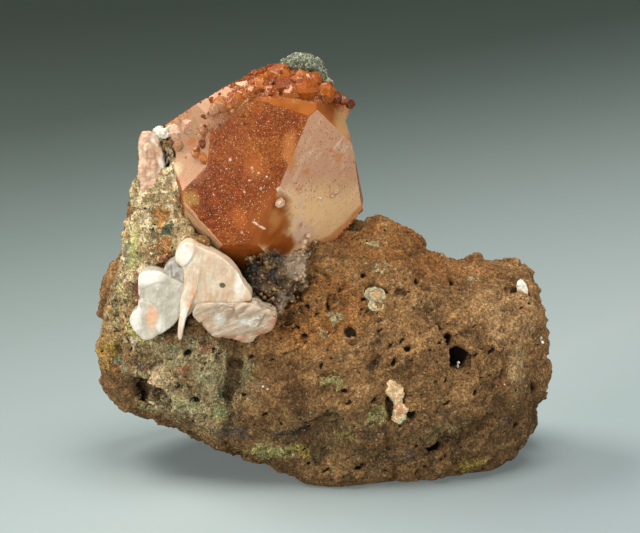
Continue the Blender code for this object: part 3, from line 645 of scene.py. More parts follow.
def basaltFinish():
    material, tree, shader, place = newFinish("basalt", Roughness=0.92, Specular_IOR_Level=0.18)
    stone = basaltColour(tree, place)
    grain, fine = [effect(tree, "grain", place=place, size=rockLook[name][0]) for name in ("grain", "fine")]
    stone = toned(tree, stone, rockLook["grain"][1], grain["Tone"], rockLook["grain"][2])
    size, strength, tints = rockLook["broad"]
    broad = span(tree, noiseAt(tree, wobbled(tree, place, 5.0, 1.5), size, 5.0, 0.65), 0.34, 0.66)
    stone = toned(tree, stone, strength, broad, tints)
    stone = toned(tree, stone, rockLook["fine"][1], fine["Tone"], rockLook["fine"][2])
    for name, size, share, strength in rockLook["specks"]:
        stone = tinted(tree, stone, rockColours[name], specksAt(tree, place, size, share), strength)
    # painted shade: darker where the relief sinks
    stone = tinted(tree, stone, rockColours["dark"], span(tree, mark(tree, "relief"), *rockLook["low"]))
    # painted shade in the hollows and painted highlight on the raised edges, both from the shape
    relief = effect(tree, "relief", width=rockLook["reliefWidth"])
    stone = tinted(tree, stone, rockColours["dark"], relief["Hollow"], rockLook["hollow"])
    stone = blended(tree, times(tree, relief["Edge"], rockLook["edge"]), stone, colour(*rockColours["edge"]),
                    "MULTIPLY")
    # painted shade in the broad cavities, dark brown with patchy strength
    patchy = span(tree, noiseAt(tree, place, 1.2, 4.0, 0.7), 0.40, 0.62, 1.0, 0.60)
    stone = tinted(tree, stone, rockColours["cavity"], mark(tree, "cavity"), patchy)
    # painted shade: the pits and pores near black
    rest = put(tree, "ShaderNodeAttribute", attribute_name="rest").outputs["Vector"]
    holes = [mask for mask, depth in poresAt(tree, rest)] + [mark(tree, "pit")]
    hole = span(tree, largest(tree, *holes), 0.15, 0.7)
    stone = tinted(tree, stone, rockColours["pore"], hole, rockLook["pores"])
    link(tree, stone, shader, "Base Color")
    height = added(tree, grain["Height"], times(tree, fine["Height"], rockLook["fineBump"]),
                   times(tree, noiseAt(tree, place, 1.1, 5.0, 0.75), rockLook["clodBump"]))
    bumped(tree, shader, height, rockLook["bump"])
    return material


def grainsOn(piece, name, seed, perSquare, sizes, accept):    # angular grains over the faces accept() takes
    grains = bpy.data.objects.new(name, piece.data.copy())
    bpy.context.collection.objects.link(grains)
    tree, shape, place = skinTree(name)
    points = put(tree, "GeometryNodeDistributePointsOnFaces", {
        "Mesh": shape, "Selection": accept(tree, place), "Density": perSquare / mm ** 2, "Seed": seed})
    tone = put(tree, "FunctionNodeRandomValue", {"Seed": seed + 1}, data_type="FLOAT").outputs[1]
    vectors = []
    for number, (low, high) in enumerate(((0.0, math.tau), [size * mm for size in sizes])):
        vectors.append(put(tree, "FunctionNodeRandomValue",
                           {0: (low,) * 3, 1: (high,) * 3, "Seed": seed + 2 + number},
                           data_type="FLOAT_VECTOR").outputs[0])
    ball = put(tree, "GeometryNodeMeshIcoSphere", {"Radius": 1.0, "Subdivisions": 1}).outputs["Mesh"]
    copies = put(tree, "GeometryNodeInstanceOnPoints", {
        "Points": stored(tree, points.outputs["Points"], "tone", tone), "Instance": ball,
        "Rotation": vectors[0], "Scale": vectors[1]}).outputs[0]
    whole = put(tree, "GeometryNodeRealizeInstances", {0: copies}).outputs[0]
    tree.links.new(whole, put(tree, "NodeGroupOutput").inputs[0])
    applyTree(grains, tree)
    makeActive(grains)
    bpy.ops.object.shade_flat()
    return grains


def readMark(tree, name):                    # a kept mark, in a geometry tree
    return put(tree, "GeometryNodeInputNamedAttribute", {"Name": name}, data_type="FLOAT").outputs[0]


def onOpenRock(tree, place):                 # above the base and outside the holes
    return times(tree, maths(tree, "GREATER_THAN", axesOf(tree, place)[2], 0.6),
                 maths(tree, "LESS_THAN", readMark(tree, "hole"), 0.15))


grainTones = (
    (0, (0.3, 0.28, 0.26)), (0.5, (0.95, 0.92, 0.86)), (0.85, (1.3, 1.25, 1.15)), (0.97, (1.9, 1.8, 1.6)),
)


def rockGrainFinish():
    material, tree, shader, place = newFinish("basalt grains", Roughness=0.8, Specular_IOR_Level=0.3)
    tone = rampOf(tree, mark(tree, "tone"), grainTones)
    link(tree, blended(tree, 0.9, basaltColour(tree, place), tone, "MULTIPLY"), shader, "Base Color")
    return material


# the large analcime crystal

crystal = {
    "edge": 0.1,                             # bevel width along its edges
    "flatEnough": 3,                         # faces closer than this many degrees become one
    "milkyAndSheen": {                               # facing of a face, and how pale it is painted: partly its own milky colour, partly painted sheen
        "right": ((0.687, -0.667, -0.289), 1), "left": ((-0.532, -0.667, 0.522), 0.85),
        "upperLeft": ((-0.33, -0.667, 0.669), 0.8), "farLeft": ((-0.742, -0.667, 0.074), 0.75),
        "lowerLeft": ((-0.562, -0.667, -0.489), 0.6), "grownTop": ((-0.517, 0.135, 0.856), 0.7),
    },
    "clear": {                               # the same for how clear and smooth it is
        "growth": ((0.299, -0.94, -0.166), 1), "bottom": ((0.052, -0.667, -0.744), 0.5),
        "top": ((0.171, -0.833, 0.526), 0.9), "upperRight": ((0.886, -0.421, 0.194), 0.8),
    },
    "fibrous": {                             # the same for how streaky it is
        "lowerLeft": ((-0.562, -0.667, -0.489), 0.9), "farLeft": ((-0.742, -0.667, 0.074), 0.7),
    },
    "alike": 0.985,                          # cosine within which a face counts as one of those
}


def shapeCrystal():
    piece = copyOfNode("analcime_crystal", "crystal")
    bpy.ops.object.mode_set(mode="EDIT")
    bpy.ops.mesh.select_all(action="SELECT")
    bpy.ops.mesh.dissolve_limited(angle_limit=math.radians(crystal["flatEnough"]))
    bpy.ops.object.mode_set(mode="OBJECT")
    applyModifier(piece, "BEVEL", width=crystal["edge"] * mm, segments=2, limit_method="ANGLE",
                  angle_limit=math.radians(12.0), use_clamp_overlap=False)
    applyModifier(piece, "TRIANGULATE")
    makeActive(piece)
    bpy.ops.object.shade_smooth_by_angle(angle=math.radians(14.0))
    for name in ("milkyAndSheen", "clear", "fibrous"):
        levels = np.zeros(len(piece.data.polygons), np.float32)
        for facing, level in crystal[name].values():
            for number, face in enumerate(piece.data.polygons):
                if face.normal.dot(Vector(facing)) > crystal["alike"]:
                    levels[number] = level
        piece.data.attributes.new(name, "FLOAT", "FACE").data.foreach_set("value", levels)
    return piece


def onSparklingFaces(tree, place):           # the grainy front of the crystal
    plain = maths(tree, "LESS_THAN", added(tree, readMark(tree, "milkyAndSheen"), readMark(tree, "clear")), 0.3)
    return times(tree, plain, maths(tree, "LESS_THAN", axesOf(tree, place)[1], -12.0))


crystalTints = {
    "deep": ((0.32, (0.115, 0.018, 0.002)), (0.5, (0.22, 0.047, 0.006)), (0.68, (0.35, 0.11, 0.018))),
    "amber": ((0.27, 0.07, 0.011), (0.38, 0.12, 0.024)), "red": (0.34, 0.055, 0.01),
    "pale": ((0.78, 0.49, 0.245), (0.53, 0.28, 0.165)),        # on the milky faces, partly painted sheen, at the foot and at the top
    "veil": (0.78, 0.6, 0.42), "rust": (0.5, 0.2, 0.075), "freckle": (0.34, 0.115, 0.038),
    "fibre": ((0.24, 0.09, 0.032), (0.47, 0.27, 0.14)), "dust": ((0.58, 0.5, 0.42), (1.42, 1.45, 1.3)),
}
crystalPatches = (                           # laid over the faces, in this order
    ((0.28, 0.068, 0.013), (((-9, -14, 49), (4.2, 9, 4)), ((-9.6, -14, 45.4), (6, 9, 5)),
        ((-7, -12, 41.6), (4.2, 8, 3)))),
    ((0.19, 0.04, 0.009), (((-10.6, -14, 40.9), (7, 6, 1.7)), ((-13.8, -16.5, 43.6), (1.6, 3, 4)),
        ((-17, -16.5, 43), (2, 3, 1.6)))),
    ((0.47, 0.19, 0.06), (((-8.2, -15.5, 46.6), (2.4, 5, 2.6)),)),
    ((0.44, 0.11, 0.018), (((-14, -16.5, 47), (1.6, 3, 3)), ((-11.6, -16.5, 56), (2.6, 3, 2.6)))),
    ((0.42, 0.23, 0.06), (((-22.6, -16.5, 50.4), (1.8, 3, 2.2)),)),
    ((0.33, 0.115, 0.022), (((-6, -13.5, 66.4), (6.5, 4, 2.4)),)),
    ((0.6, 0.34, 0.14), (((2.6, -6.5, 61.5), (3.2, 6, 6.5)), ((5.6, -5, 57), (1.6, 4, 4)))),
)
crystalStains = (
    ((0.66, 0.42, 0.3), (((-3.4, -8.6, 42.6), (2.3, 6, 3.2)), ((-3.9, -10.5, 45.4), (1, 4, 2.4)),
        ((-3.8, -10.8, 48.4), (0.8, 4, 1.4)))),
    ((0.5, 0.17, 0.045), (((2.7, -7.5, 56.1), (0.8, 3, 1.4)), ((1.5, -9.3, 57.6), (0.7, 3, 0.9)),
        ((-3.4, -12.5, 54.6), (0.8, 3, 0.7)), ((-4.4, -12, 51.5), (0.7, 3, 0.5)))),
    ((0.36, 0.205, 0.115), (((-23, -13.5, 58.5), (5, 6, 8)), ((-20, -15, 65), (5, 5, 4)))),
    ((0.4, 0.11, 0.026), (((-21.4, -14.5, 57.4), (1.2, 3, 1)), ((-22.2, -13.6, 59.6), (1.3, 3, 1.4)),
        ((-21.4, -14.6, 54.6), (0.8, 3, 0.7)))),
    ((0.23, 0.085, 0.028), (((-17, -16.5, 65), (3.6, 3, 1.8)), ((-14, -16.5, 66.2), (2.6, 3, 1.2)))),
    ((0.48, 0.17, 0.04), (((-5.6, -16.5, 58.5), (1.3, 3, 5.5)),)),
    ((0.56, 0.48, 0.3), (((-25, -11, 54.5), (1.5, 4, 2.5)),)),
)
crystalLines = (                             # tint, path and reach of veins, rims and the crust at the foot
    ((0.56, 0.205, 0.06), ((-2.4, -6.4, 39.4), (1.2, -2.9, 40.3), (4, -0.4, 42.2), (6.4, 1.6, 45.4)),
        1.7),
    ((0.78, 0.58, 0.42), ((-12, -16.6, 46.4), (-10.3, -16.2, 45.4), (-8.8, -15.4, 44.6)), 0.28),
    ((0.78, 0.6, 0.46), ((-9.4, -15.8, 44.6), (-7.2, -13.6, 43)), 0.24),
    ((0.56, 0.34, 0.2), ((-23.6, -16.5, 49.6), (-20.4, -16.5, 46), (-17.4, -16.5, 42.5)), 0.26),
    ((0.7, 0.48, 0.32), ((-7.6, -16.6, 52.4), (-5.4, -13.6, 50.4), (-4, -11.2, 47.8), (-3.6, -9.6, 45)),
        0.35),
    ((0.8, 0.62, 0.46), ((6.8, -5.4, 53), (6.9, -3.2, 48), (6.6, -1, 44.8)), 0.4),
)


def analcimeFinish():
    material, tree, shader, place = newFinish(
        "analcime", IOR=1.487, Specular_IOR_Level=0.13, Subsurface_Weight=0.3,
        Subsurface_Radius=(1.0, 0.42, 0.2), Subsurface_Scale=0.0022, Transmission_Weight=0.08)
    ragged = wobbled(tree, wobbled(tree, place, 4.0, 1.2), 1.4, 0.4)
    growth = patchesOf(tree, ragged, crystalPatches[0][1], 0.5)
    milkyAndSheen = times(tree, mark(tree, "milkyAndSheen"), maths(tree, "SUBTRACT", 1.0, growth))
    clear = largest(tree, mark(tree, "clear"), growth)
    cloudy = maths(tree, "SUBTRACT", 1.0, clear)
    dust = effect(tree, "grain", place=place, size=0.19)

    deep = rampOf(tree, noiseAt(tree, place, 8.0, 6.0, 0.7), crystalTints["deep"])
    deep = toned(tree, deep, times(tree, cloudy, 0.9), dust["Tone"], crystalTints["dust"])
    red = span(tree, noiseAt(tree, place, 2.4, 5.0, 0.7), 0.54, 0.66)
    deep = tinted(tree, deep, crystalTints["red"], red, 0.55)
    amber = between(tree, span(tree, noiseAt(tree, place, 3.0, 4.0, 0.6), 0.35, 0.65), crystalTints["amber"])
    deep = blended(tree, times(tree, clear, 0.8), deep, amber)
    deep = painted(tree, deep, ragged, crystalPatches, 0.75, 0.3)

    height = axesOf(tree, wobbled(tree, place, 6.0, 1.5))[2]
    pale = between(tree, span(tree, height, 47.0, 54.0), crystalTints["pale"])
    drawn = stretched(tree, wobbled(tree, place, 3.0, 0.8), (0, 50, 0), (4.0, 1.0, 0.8))
    veil = span(tree, noiseAt(tree, drawn, 1.4, 4.0), 0.5, 0.75, 0.0, 0.5)
    pale = tinted(tree, pale, crystalTints["veil"], veil)
    rusty = span(tree, noiseAt(tree, place, 2.0, 6.0, 0.75), 0.55, 0.68)
    pale = tinted(tree, pale, crystalTints["rust"], rusty, 0.45)
    freckles = largest(tree, specksAt(tree, place, 0.30, 0.40), specksAt(tree, place, 0.52, 0.16))
    thick = span(tree, noiseAt(tree, place, 1.8, 5.0, 0.75), 0.34, 0.52)
    rising = span(tree, height, 46.0, 52.0, 0.3, 1.0)
    pale = tinted(tree, pale, crystalTints["freckle"], freckles, thick, rising)

    drawn = stretched(tree, wobbled(tree, place, 3.0, 0.4), (0, -49, 0), (7.0, 1.0, 0.35))
    fibres = between(tree, span(tree, noiseAt(tree, drawn, 1.0, 4.0), 0.38, 0.62), crystalTints["fibre"])
    # the milky faces are painted pale: partly their own milky colour, partly painted sheen
    base = blended(tree, mark(tree, "fibrous"), blended(tree, milkyAndSheen, deep, pale), fibres)
    base = painted(tree, base, ragged, crystalStains, 0.75)
    base = veined(tree, base, wobbled(tree, place, 1.2, 0.25), crystalLines, 0.1, 0.8)
    link(tree, base, shader, "Base Color")
    rough = added(tree, times(tree, milkyAndSheen, 0.16), times(tree, dust["Tone"], cloudy, 0.3), 0.10)
    link(tree, rough, shader, "Roughness")
    ripple = times(tree, noiseAt(tree, place, 2.5, 4.0), 3.0)
    bumped(tree, shader, added(tree, times(tree, dust["Height"], cloudy), ripple), 0.09, 0.8)
    return material


sparkleTones = (
    (0, (0.24, 0.05, 0.01)), (0.6, (0.46, 0.14, 0.034)), (0.86, (0.66, 0.29, 0.1)),
    (0.98, (0.9, 0.7, 0.48)),
)


def sparkleFinish():
    material, tree, shader, place = newFinish("sparkle", Roughness=0.08, IOR=1.5, Subsurface_Weight=0.2,
                                              Subsurface_Scale=0.0005)
    link(tree, rampOf(tree, mark(tree, "tone"), sparkleTones), shader, "Base Color")
    return material


crystalPiece = dressed(shapeCrystal(), analcimeFinish(), "analcime", "analcime_crystal")
print("crystal:", len(crystalPiece.data.polygons), "faces")
crystalGrains = grainsOn(crystalPiece, "crystal_sparkle", 31, 9.0, (0.04, 0.10), onSparklingFaces)
dressed(crystalGrains, sparkleFinish(), "analcime")
print("sparkle:", len(crystalGrains.data.polygons), "faces")


# trapezohedra, modelled once from a cube and copied

def trapezohedron():
    bpy.ops.mesh.primitive_cube_add(size=2.0)
    pattern = bpy.context.view_layer.objects.active
    bpy.ops.object.mode_set(mode="EDIT")
    bpy.ops.mesh.subdivide(number_cuts=1)
    bpy.ops.object.mode_set(mode="OBJECT")
    for vertex in pattern.data.vertices:     # points on 2 axes go to 2/3, those on 3 axes to 1/2
        axesUsed = sum(abs(part) > 0.5 for part in vertex.co)
        vertex.co *= {1: 1.0, 2: 2.0 / 3.0, 3: 0.5}[axesUsed]
    return pattern


pattern = trapezohedron()


def clusterOf(places, name, seed, slim=1.0):  # places are centres and radii in mm
    dice = random.Random(seed)
    crystals = []
    for centre, radius in places:
        piece = bpy.data.objects.new(name, pattern.data.copy())
        bpy.context.collection.objects.link(piece)
        piece.location = Vector(centre) * mm
        piece.rotation_euler = [dice.uniform(0, math.tau) for _ in range(3)]
        piece.scale = [radius * mm * dice.uniform(0.8, 1.15) for _ in range(3)]
        piece.scale.z *= slim
        tones = np.full(len(piece.data.vertices), dice.random(), np.float32)
        piece.data.attributes.new("tone", "FLOAT", "POINT").data.foreach_set("value", tones)
        crystals.append(piece)
    return joined(crystals, name)


def scatteredOn(piece, accept, count, radii, seed, sink=0.35):   # places on the faces that accept() takes
    dice = random.Random(seed)
    chosen = [face for face in piece.data.polygons if accept(face.center / mm, face.normal, face)]
    weights = np.cumsum([face.area for face in chosen])
    places = []
    for _ in range(count):
        face = chosen[int(np.searchsorted(weights, dice.random() * weights[-1]))]
        corners = [piece.data.vertices[number].co for number in face.vertices]
        while len(corners) > 3:
            corners.pop(dice.randrange(len(corners)))
        first, second = sorted((dice.random(), dice.random()))
        spot = corners[0] * first + corners[1] * (second - first) + corners[2] * (1 - second)
        radius = radii[0] + (radii[1] - radii[0]) * dice.random() ** 2
        places.append((spot / mm - face.normal * radius * sink, radius))
    return places


def isSmall(face):
    return face.area < 14.0 * mm * mm


def isTopDruse(place, normal, face):
    return isSmall(face) and place.z > 66.5 and place.x > -13.0 and normal.z > -0.5


def isRidgeDruse(place, normal, face):
    return isSmall(face) and -22.0 < place.x < -10.0 and place.z > 61.0 and normal.y < 0.3


def isLeftDruse(place, normal, face):
    return isSmall(face) and place.x < -19.0 and place.z > 55.0 and normal.y < 0.3


def isFootDruse(place, normal, face):
    return place.z < 44.0 and place.x > 0.0


druse = {
    "large": (
        ((-9.8, -11.6, 68.6), 2), ((-6.6, -12.2, 68.7), 2.3), ((-2.9, -12.6, 68.3), 2.5),
        ((0.2, -11.6, 67.6), 1.9), ((2, -10.6, 66.9), 1.3), ((-5, -10.6, 70), 1.7),
        ((-1.6, -10.6, 69.8), 1.7), ((-8.2, -9.8, 69.8), 1.6), ((-12.2, -12.6, 67.8), 1.7),
        ((3.4, -9.2, 66.2), 1.1), ((4.6, -8, 65.4), 1), ((-17.2, -14.6, 65.8), 2),
        ((-14.4, -14.6, 66.8), 1.7), ((-19.6, -14.2, 64.2), 1.2), ((-15.6, -13.4, 67.2), 1.4),
        ((-18.6, -15.6, 62.6), 0.9), ((-18.8, -15.8, 60.8), 0.8), ((-21.4, -14.2, 58.4), 1),
        ((-19.9, -15.2, 57.2), 1.3), ((-20.2, -15, 59.6), 1),
    ),
    "pale": (((-13.6, -10.6, 67.6), 2.2), ((-22.4, -10.6, 61.8), 2.2), ((-24.6, -8.6, 60.6), 2),
        ((-19.4, -11.8, 63.8), 2.2), ((-2.8, -11.9, 70.4), 0.6)),
    "clear": (
        ((-7.4, -15.8, 49.6), 1), ((2.2, -5.6, 49.6), 0.6), ((1.6, -6.2, 49), 0.4),
        ((-0.6, -8.1, 49), 0.45), ((-7.7, -16.5, 52), 0.4), ((-4, -12.4, 51), 0.35),
        ((-4.6, -11.9, 48.1), 0.3), ((-3.4, -9.6, 44.6), 0.5), ((-2.6, -7.9, 42.3), 0.6),
        ((-1.6, -7, 41), 0.5), ((-3.2, -8.6, 41.4), 0.45), ((-12.1, -16.6, 55.7), 0.4),
        ((-11, -16.6, 54.9), 0.3), ((-15.8, -16.6, 57.1), 0.35), ((-12.6, -16.6, 53.6), 0.3),
        ((-10.6, -16.6, 52.2), 0.3), ((-16.4, -16.6, 55.6), 0.25), ((-13.4, -16.6, 51.6), 0.25),
        ((-9.6, -16.6, 54.2), 0.25), ((-13.9, -16.6, 44.6), 0.25),
    ),
}


druseLooks = {                               # tones of the small crystals, roughness and the shader's values
    "orange druse": (
        ((0.2, (0.085, 0.014, 0.001)), (0.45, (0.185, 0.036, 0.003)), (0.68, (0.29, 0.074, 0.007)),
            (0.88, (0.56, 0.29, 0.12))),
        0.04, {"Subsurface_Weight": 0.3, "Subsurface_Radius": (1, 0.3, 0.1), "Subsurface_Scale": 0.0006},
    ),
    "pale druse": (((0.2, (0.4, 0.22, 0.14)), (0.8, (0.5, 0.31, 0.21))), 0.15,
        {"Subsurface_Weight": 0.3, "Subsurface_Scale": 0.0015}),
    "clear druse": (((0.2, (0.64, 0.38, 0.23)), (0.8, (0.82, 0.64, 0.48))), 0.03,
        {"Transmission_Weight": 0.4}),
    "cap grains": (((0.25, (0.035, 0.042, 0.024)), (0.5, (0.15, 0.155, 0.1)), (0.75, (0.32, 0.31, 0.215)),
        (0.9, (0.56, 0.53, 0.4))), 0.6, {}),
    "white specks": (((0.2, (0.56, 0.46, 0.33)), (0.8, (0.82, 0.76, 0.66))), 0.3, {}),
}


def druseFinish(name):
    stops, rough, settings = druseLooks[name]
    material, tree, shader, place = newFinish(name, IOR=1.487, Specular_IOR_Level=0.28, **settings)
    tone = added(tree, times(tree, mark(tree, "tone"), 0.6), times(tree, noiseAt(tree, place, 1.6, 4.0), 0.4))
    dust = effect(tree, "grain", place=place, size=0.22)
    base = toned(tree, rampOf(tree, tone, stops), 0.6, dust["Tone"], ((0.6, 0.5, 0.42), (1.4, 1.45, 1.5)))
    link(tree, base, shader, "Base Color")
    link(tree, added(tree, times(tree, dust["Tone"], 0.3), rough), shader, "Roughness")
    bumped(tree, shader, dust["Height"], 0.05)
    return material


orangeFinish, paleFinish, clearFinish = [druseFinish(kind + " druse") for kind in ("orange", "pale", "clear")]
topPlaces = []                               # which faces, how many crystals, their radii and the seed
for accept, count, radii, seed in ((isTopDruse, 170, (0.2, 0.6), 3), (isRidgeDruse, 110, (0.2, 0.55), 4),
                                   (isLeftDruse, 14, (0.2, 0.45), 6), (isFootDruse, 60, (0.2, 0.5), 14)):
    topPlaces += scatteredOn(crystalPiece, accept, count, radii, seed)
topDruse = clusterOf(topPlaces + list(druse["large"]), "top_druse", 5)
dressed(topDruse, orangeFinish, "analcime")
dressed(clusterOf(druse["pale"], "pale_druse", 15, 1.3), paleFinish, "analcime")
dressed(clusterOf(druse["clear"], "clear_crystals", 16), clearFinish, "analcime")
print("top druse:", len(topDruse.data.polygons), "faces")


# grey druse in the hollow under the crystal

greyDruse = {
    "voxel": 0.3, "lumps": (2.6, 1.5), "crumbs": (0.9, 0.5), "sunk": -0.9,
    "mounds": (((-4, -14.2, 40.2), 1.7), ((-2.4, -12.6, 40.6), 1.5), ((-4.2, -15.2, 36.6), 1.9),
        ((-6.4, -15.4, 33.6), 1.8), ((-8, -15.6, 31.2), 1.5), ((-12.6, -14.6, 39.6), 1.2)),
    "spill": (                               # lines of crystals beyond its edge
        ((-13.2, -14.6, 39), (-9, -14.4, 40.6)), ((-3.6, -13.6, 38), (-2, -11.8, 41.2)),
        ((-4, -14.6, 34.5), (-8, -15.4, 31)), ((-8, -15.6, 31.2), (-8.6, -17, 28.6)),
        ((-13, -16, 33.5), (-6, -15.8, 33.5)),
    ),
    "tones": ((0.3, (0.018, 0.009, 0.003)), (0.46, (0.08, 0.042, 0.014)), (0.6, (0.165, 0.093, 0.037)),
        (0.78, (0.4, 0.265, 0.13))),
    "shade": ((0.022, 0.014, 0.008), (((-12.8, -15, 36.6), (2.6, 6, 4)), ((-8, -15, 40), (2, 5, 1.6)),
        ((-8.4, -15.6, 37), (1.2, 5, 1.4)))),
    "bright": ((0.42, 0.31, 0.21), (((-4.6, -15, 38.6), (2.8, 5, 3)),
        ((-7.4, -15.6, 32.2), (1.6, 5, 2.6)))),
}


def shapeGreyDruse():
    base = withMounds(copyOfNode("grey_druse", "druse base"), greyDruse["mounds"])
    remeshed(base, greyDruse["voxel"])
    tree, shape, place = skinTree("Grey druse skin")
    lift = added(tree, centredNoise(tree, place, *greyDruse["lumps"]),
                 centredNoise(tree, place, *greyDruse["crumbs"]), greyDruse["sunk"])
    applyTree(base, closeSkin(tree, shape, lift))
    places = scatteredOn(base, lambda place, normal, face: normal.y < 0.2, 1100, (0.12, 0.34), 7)
    dice = random.Random(9)
    for start, end in greyDruse["spill"]:
        for _ in range(26):
            spot = Vector(start).lerp(Vector(end), dice.random())
            spot += Vector([dice.gauss(0.0, 0.6) for _ in range(3)])
            places.append((spot, dice.uniform(0.15, 0.4)))
    return joined([base, clusterOf(places, "grey", 8, 1.3)], "grey_druse_crystals")


def greyDruseFinish():
    material, tree, shader, place = newFinish("grey druse", Roughness=0.4, IOR=1.5, Specular_IOR_Level=0.35)
    clouds = times(tree, noiseAt(tree, place, 2.6, 5.0, 0.7), 1.3)
    tone = added(tree, times(tree, mark(tree, "tone"), 0.30), clouds, -0.28)
    stone = painted(tree, rampOf(tree, tone, greyDruse["tones"]), place, (greyDruse["shade"],), 0.85)
    tint, places = greyDruse["bright"]
    stone = tinted(tree, stone, tint, patchesOf(tree, place, places), noiseAt(tree, place, 1.2, 3.0), 0.8)
    link(tree, stone, shader, "Base Color")
    bumped(tree, shader, effect(tree, "grain", place=place, size=0.2)["Height"], 0.05)
    return material


dressed(shapeGreyDruse(), greyDruseFinish(), "grey_druse", "grey_druse")
print("grey druse done")


# blades: plates with lobed outlines, melted together and worked up

blades = {
    "pink_wall_crystal": {
        "voxel": 0.15, "waves": (2.6, 0.45), "ribs": (0.8, 0.2), "breaks": (1.3, 0.34),
        "base": (-30, 20, 14),
        "plates": (
            (((-31.4, 58), (-31.2, 59.8), (-30.4, 60.4), (-29.3, 60), (-28.4, 58.6), (-27.6, 56.8),
                (-27, 53.9), (-26.9, 51), (-27.6, 48.6), (-29, 48), (-30.4, 49), (-31, 52.3),
                (-31.4, 55)), -11.5, -7.5, (0.1, 0.02), 0.25),
            (((-30.6, 58.4), (-29.6, 59.2), (-28.8, 57), (-28.6, 52), (-29.6, 50.6), (-30.2, 55)), -11.8,
                -9, (0.1, 0), 0.2),
        ),
    },
    "white_blade_left": {
        "voxel": 0.15, "waves": (3.2, 0.2), "ribs": (0.8, 0.04), "breaks": (2.2, 0.07),
        "base": (-28, 10, 16),
        "plates": (                          # outline (x, z), front and back y, lean in x and z, bevel
            (((-31.2, 37.8), (-30, 38.4), (-28, 38.3), (-26.3, 37.6), (-24.1, 36.9), (-23, 35.9),
                (-23, 32.3), (-24.4, 30.5), (-25.6, 29), (-27.2, 27.9), (-28.6, 27.2), (-30.3, 26.6),
                (-31.2, 27.2), (-32.1, 28.2), (-32.9, 29.9), (-32.5, 31.1), (-31.6, 31.7), (-31.5, 32.9),
                (-30.9, 33.6), (-31.3, 34.7), (-31.3, 36.5)), -19.7, -14, (-0.05, 0.03), 0.22),
            (((-31.4, 33.2), (-30.6, 33.5), (-29.2, 33), (-28.2, 32), (-27.4, 30), (-27.6, 28.4),
                (-28.6, 27.2), (-30.3, 26.6), (-31.2, 27.2), (-32.1, 28.2), (-32.9, 29.9), (-32.5, 31.1),
                (-31.6, 31.9)), -20, -16, (-0.05, 0.04), 0.15),
            (((-31.2, 37.6), (-30, 38.3), (-28, 38.2), (-26.6, 37.6), (-26.2, 36.4), (-28.4, 36.6),
                (-30.6, 35.6), (-31.2, 36)), -19.8, -16, (0, 0.03), 0.15),
        ),
    },
    "white_blade_right": {
        "voxel": 0.15, "waves": (3.4, 0.2), "ribs": (0.7, 0.06), "breaks": (1, 0.05),
        "base": (-21.5, 6, 26),
        "plates": (
            (((-25, 41.3), (-24.4, 42.8), (-23, 43.7), (-21.5, 43.2), (-19.7, 42.4), (-17.6, 41.3),
                (-15.6, 39.8), (-14.4, 38.3), (-13.5, 36.5), (-12.5, 35.3), (-12.2, 34.3), (-12.8, 33.4),
                (-17.5, 32.9), (-21.2, 32.8), (-22.7, 31), (-23.3, 31.3), (-23.5, 35.4), (-23.7, 39),
                (-24.4, 39.9)), -20.5, -15.8, (0.02, -0.03), 0.22),
            (((-25, 41), (-24.3, 42.9), (-23, 43.8), (-21.6, 43.2), (-21.9, 41.4), (-23.4, 39.6),
                (-24.3, 39.9)), -21.1, -17, (-0.06, 0.06), 0.3),
            (((-23.6, 33), (-23.4, 38.4), (-22.4, 40.2), (-20.6, 41.4), (-20.9, 38), (-22, 34)), -20.85,
                -17, (0, 0.04), 0.12),
            (((-23, 36.3), (-22.2, 33.6), (-23.5, 29.9), (-24.1, 27.1), (-24.7, 27.7), (-24.4, 30.7),
                (-24.1, 34.3)), -21.2, -16, (0, 0), 0.25),
        ),
    },
    "clear_blade": {
        "voxel": 0.14, "waves": (2.4, 0.22), "ribs": (0.8, 0.1), "breaks": (1, 0.26),
        "base": (-40, 20, 18),
        "plates": (
            (((-21.2, 33.4), (-16.7, 33.3), (-12, 33.4), (-10.9, 32.7), (-8.8, 31.6), (-8.2, 30.7),
                (-8.5, 29.2), (-9.7, 28), (-11.1, 27.4), (-12.6, 26.5), (-15, 26.8), (-17.4, 27.4),
                (-19.1, 28), (-20.3, 29.5), (-21.5, 30.7), (-22.1, 31.6)), -21.3, -15.2, (0.03, -0.04),
                0.28),
            (((-14.5, 33), (-12, 33.3), (-10, 31.4), (-12, 29.2), (-14.2, 30.4)), -21.8, -17,
                (0.08, -0.1), 0.15),
            (((-20.6, 33.2), (-16, 33.3), (-15.4, 31.4), (-18.4, 30.2), (-21, 31.6)), -21.6, -17,
                (0.02, -0.08), 0.15),
        ),
    },
    "grey_blade": {
        "voxel": 0.14, "waves": (2, 0.14), "ribs": (0.6, 0.1), "breaks": (1.6, 0.12),
        "base": (-24.6, 20, 14),
        "plates": ((((-27.1, 38.1), (-26.2, 39.7), (-24.9, 40.4), (-24.1, 39.3), (-22.8, 39.4),
            (-22.8, 36), (-24.4, 34.6), (-25.6, 36)), -19.4, -14.8, (-0.1, 0.08), 0.3),),
    },
}


def smoothOutline(corners, steps=4):         # a closed smooth curve through the corners
    count = len(corners)
    outline = []
    for number in range(count):
        before, start, end, after = [Vector(corners[(number + shift) % count]) for shift in (-1, 0, 1, 2)]
        for step in range(steps):
            way = step / steps
            outline.append(0.5 * (2 * start + (end - before) * way
                                  + (2 * before - 5 * start + 4 * end - after) * way ** 2
                                  + (3 * start - before - 3 * end + after) * way ** 3))
    return outline


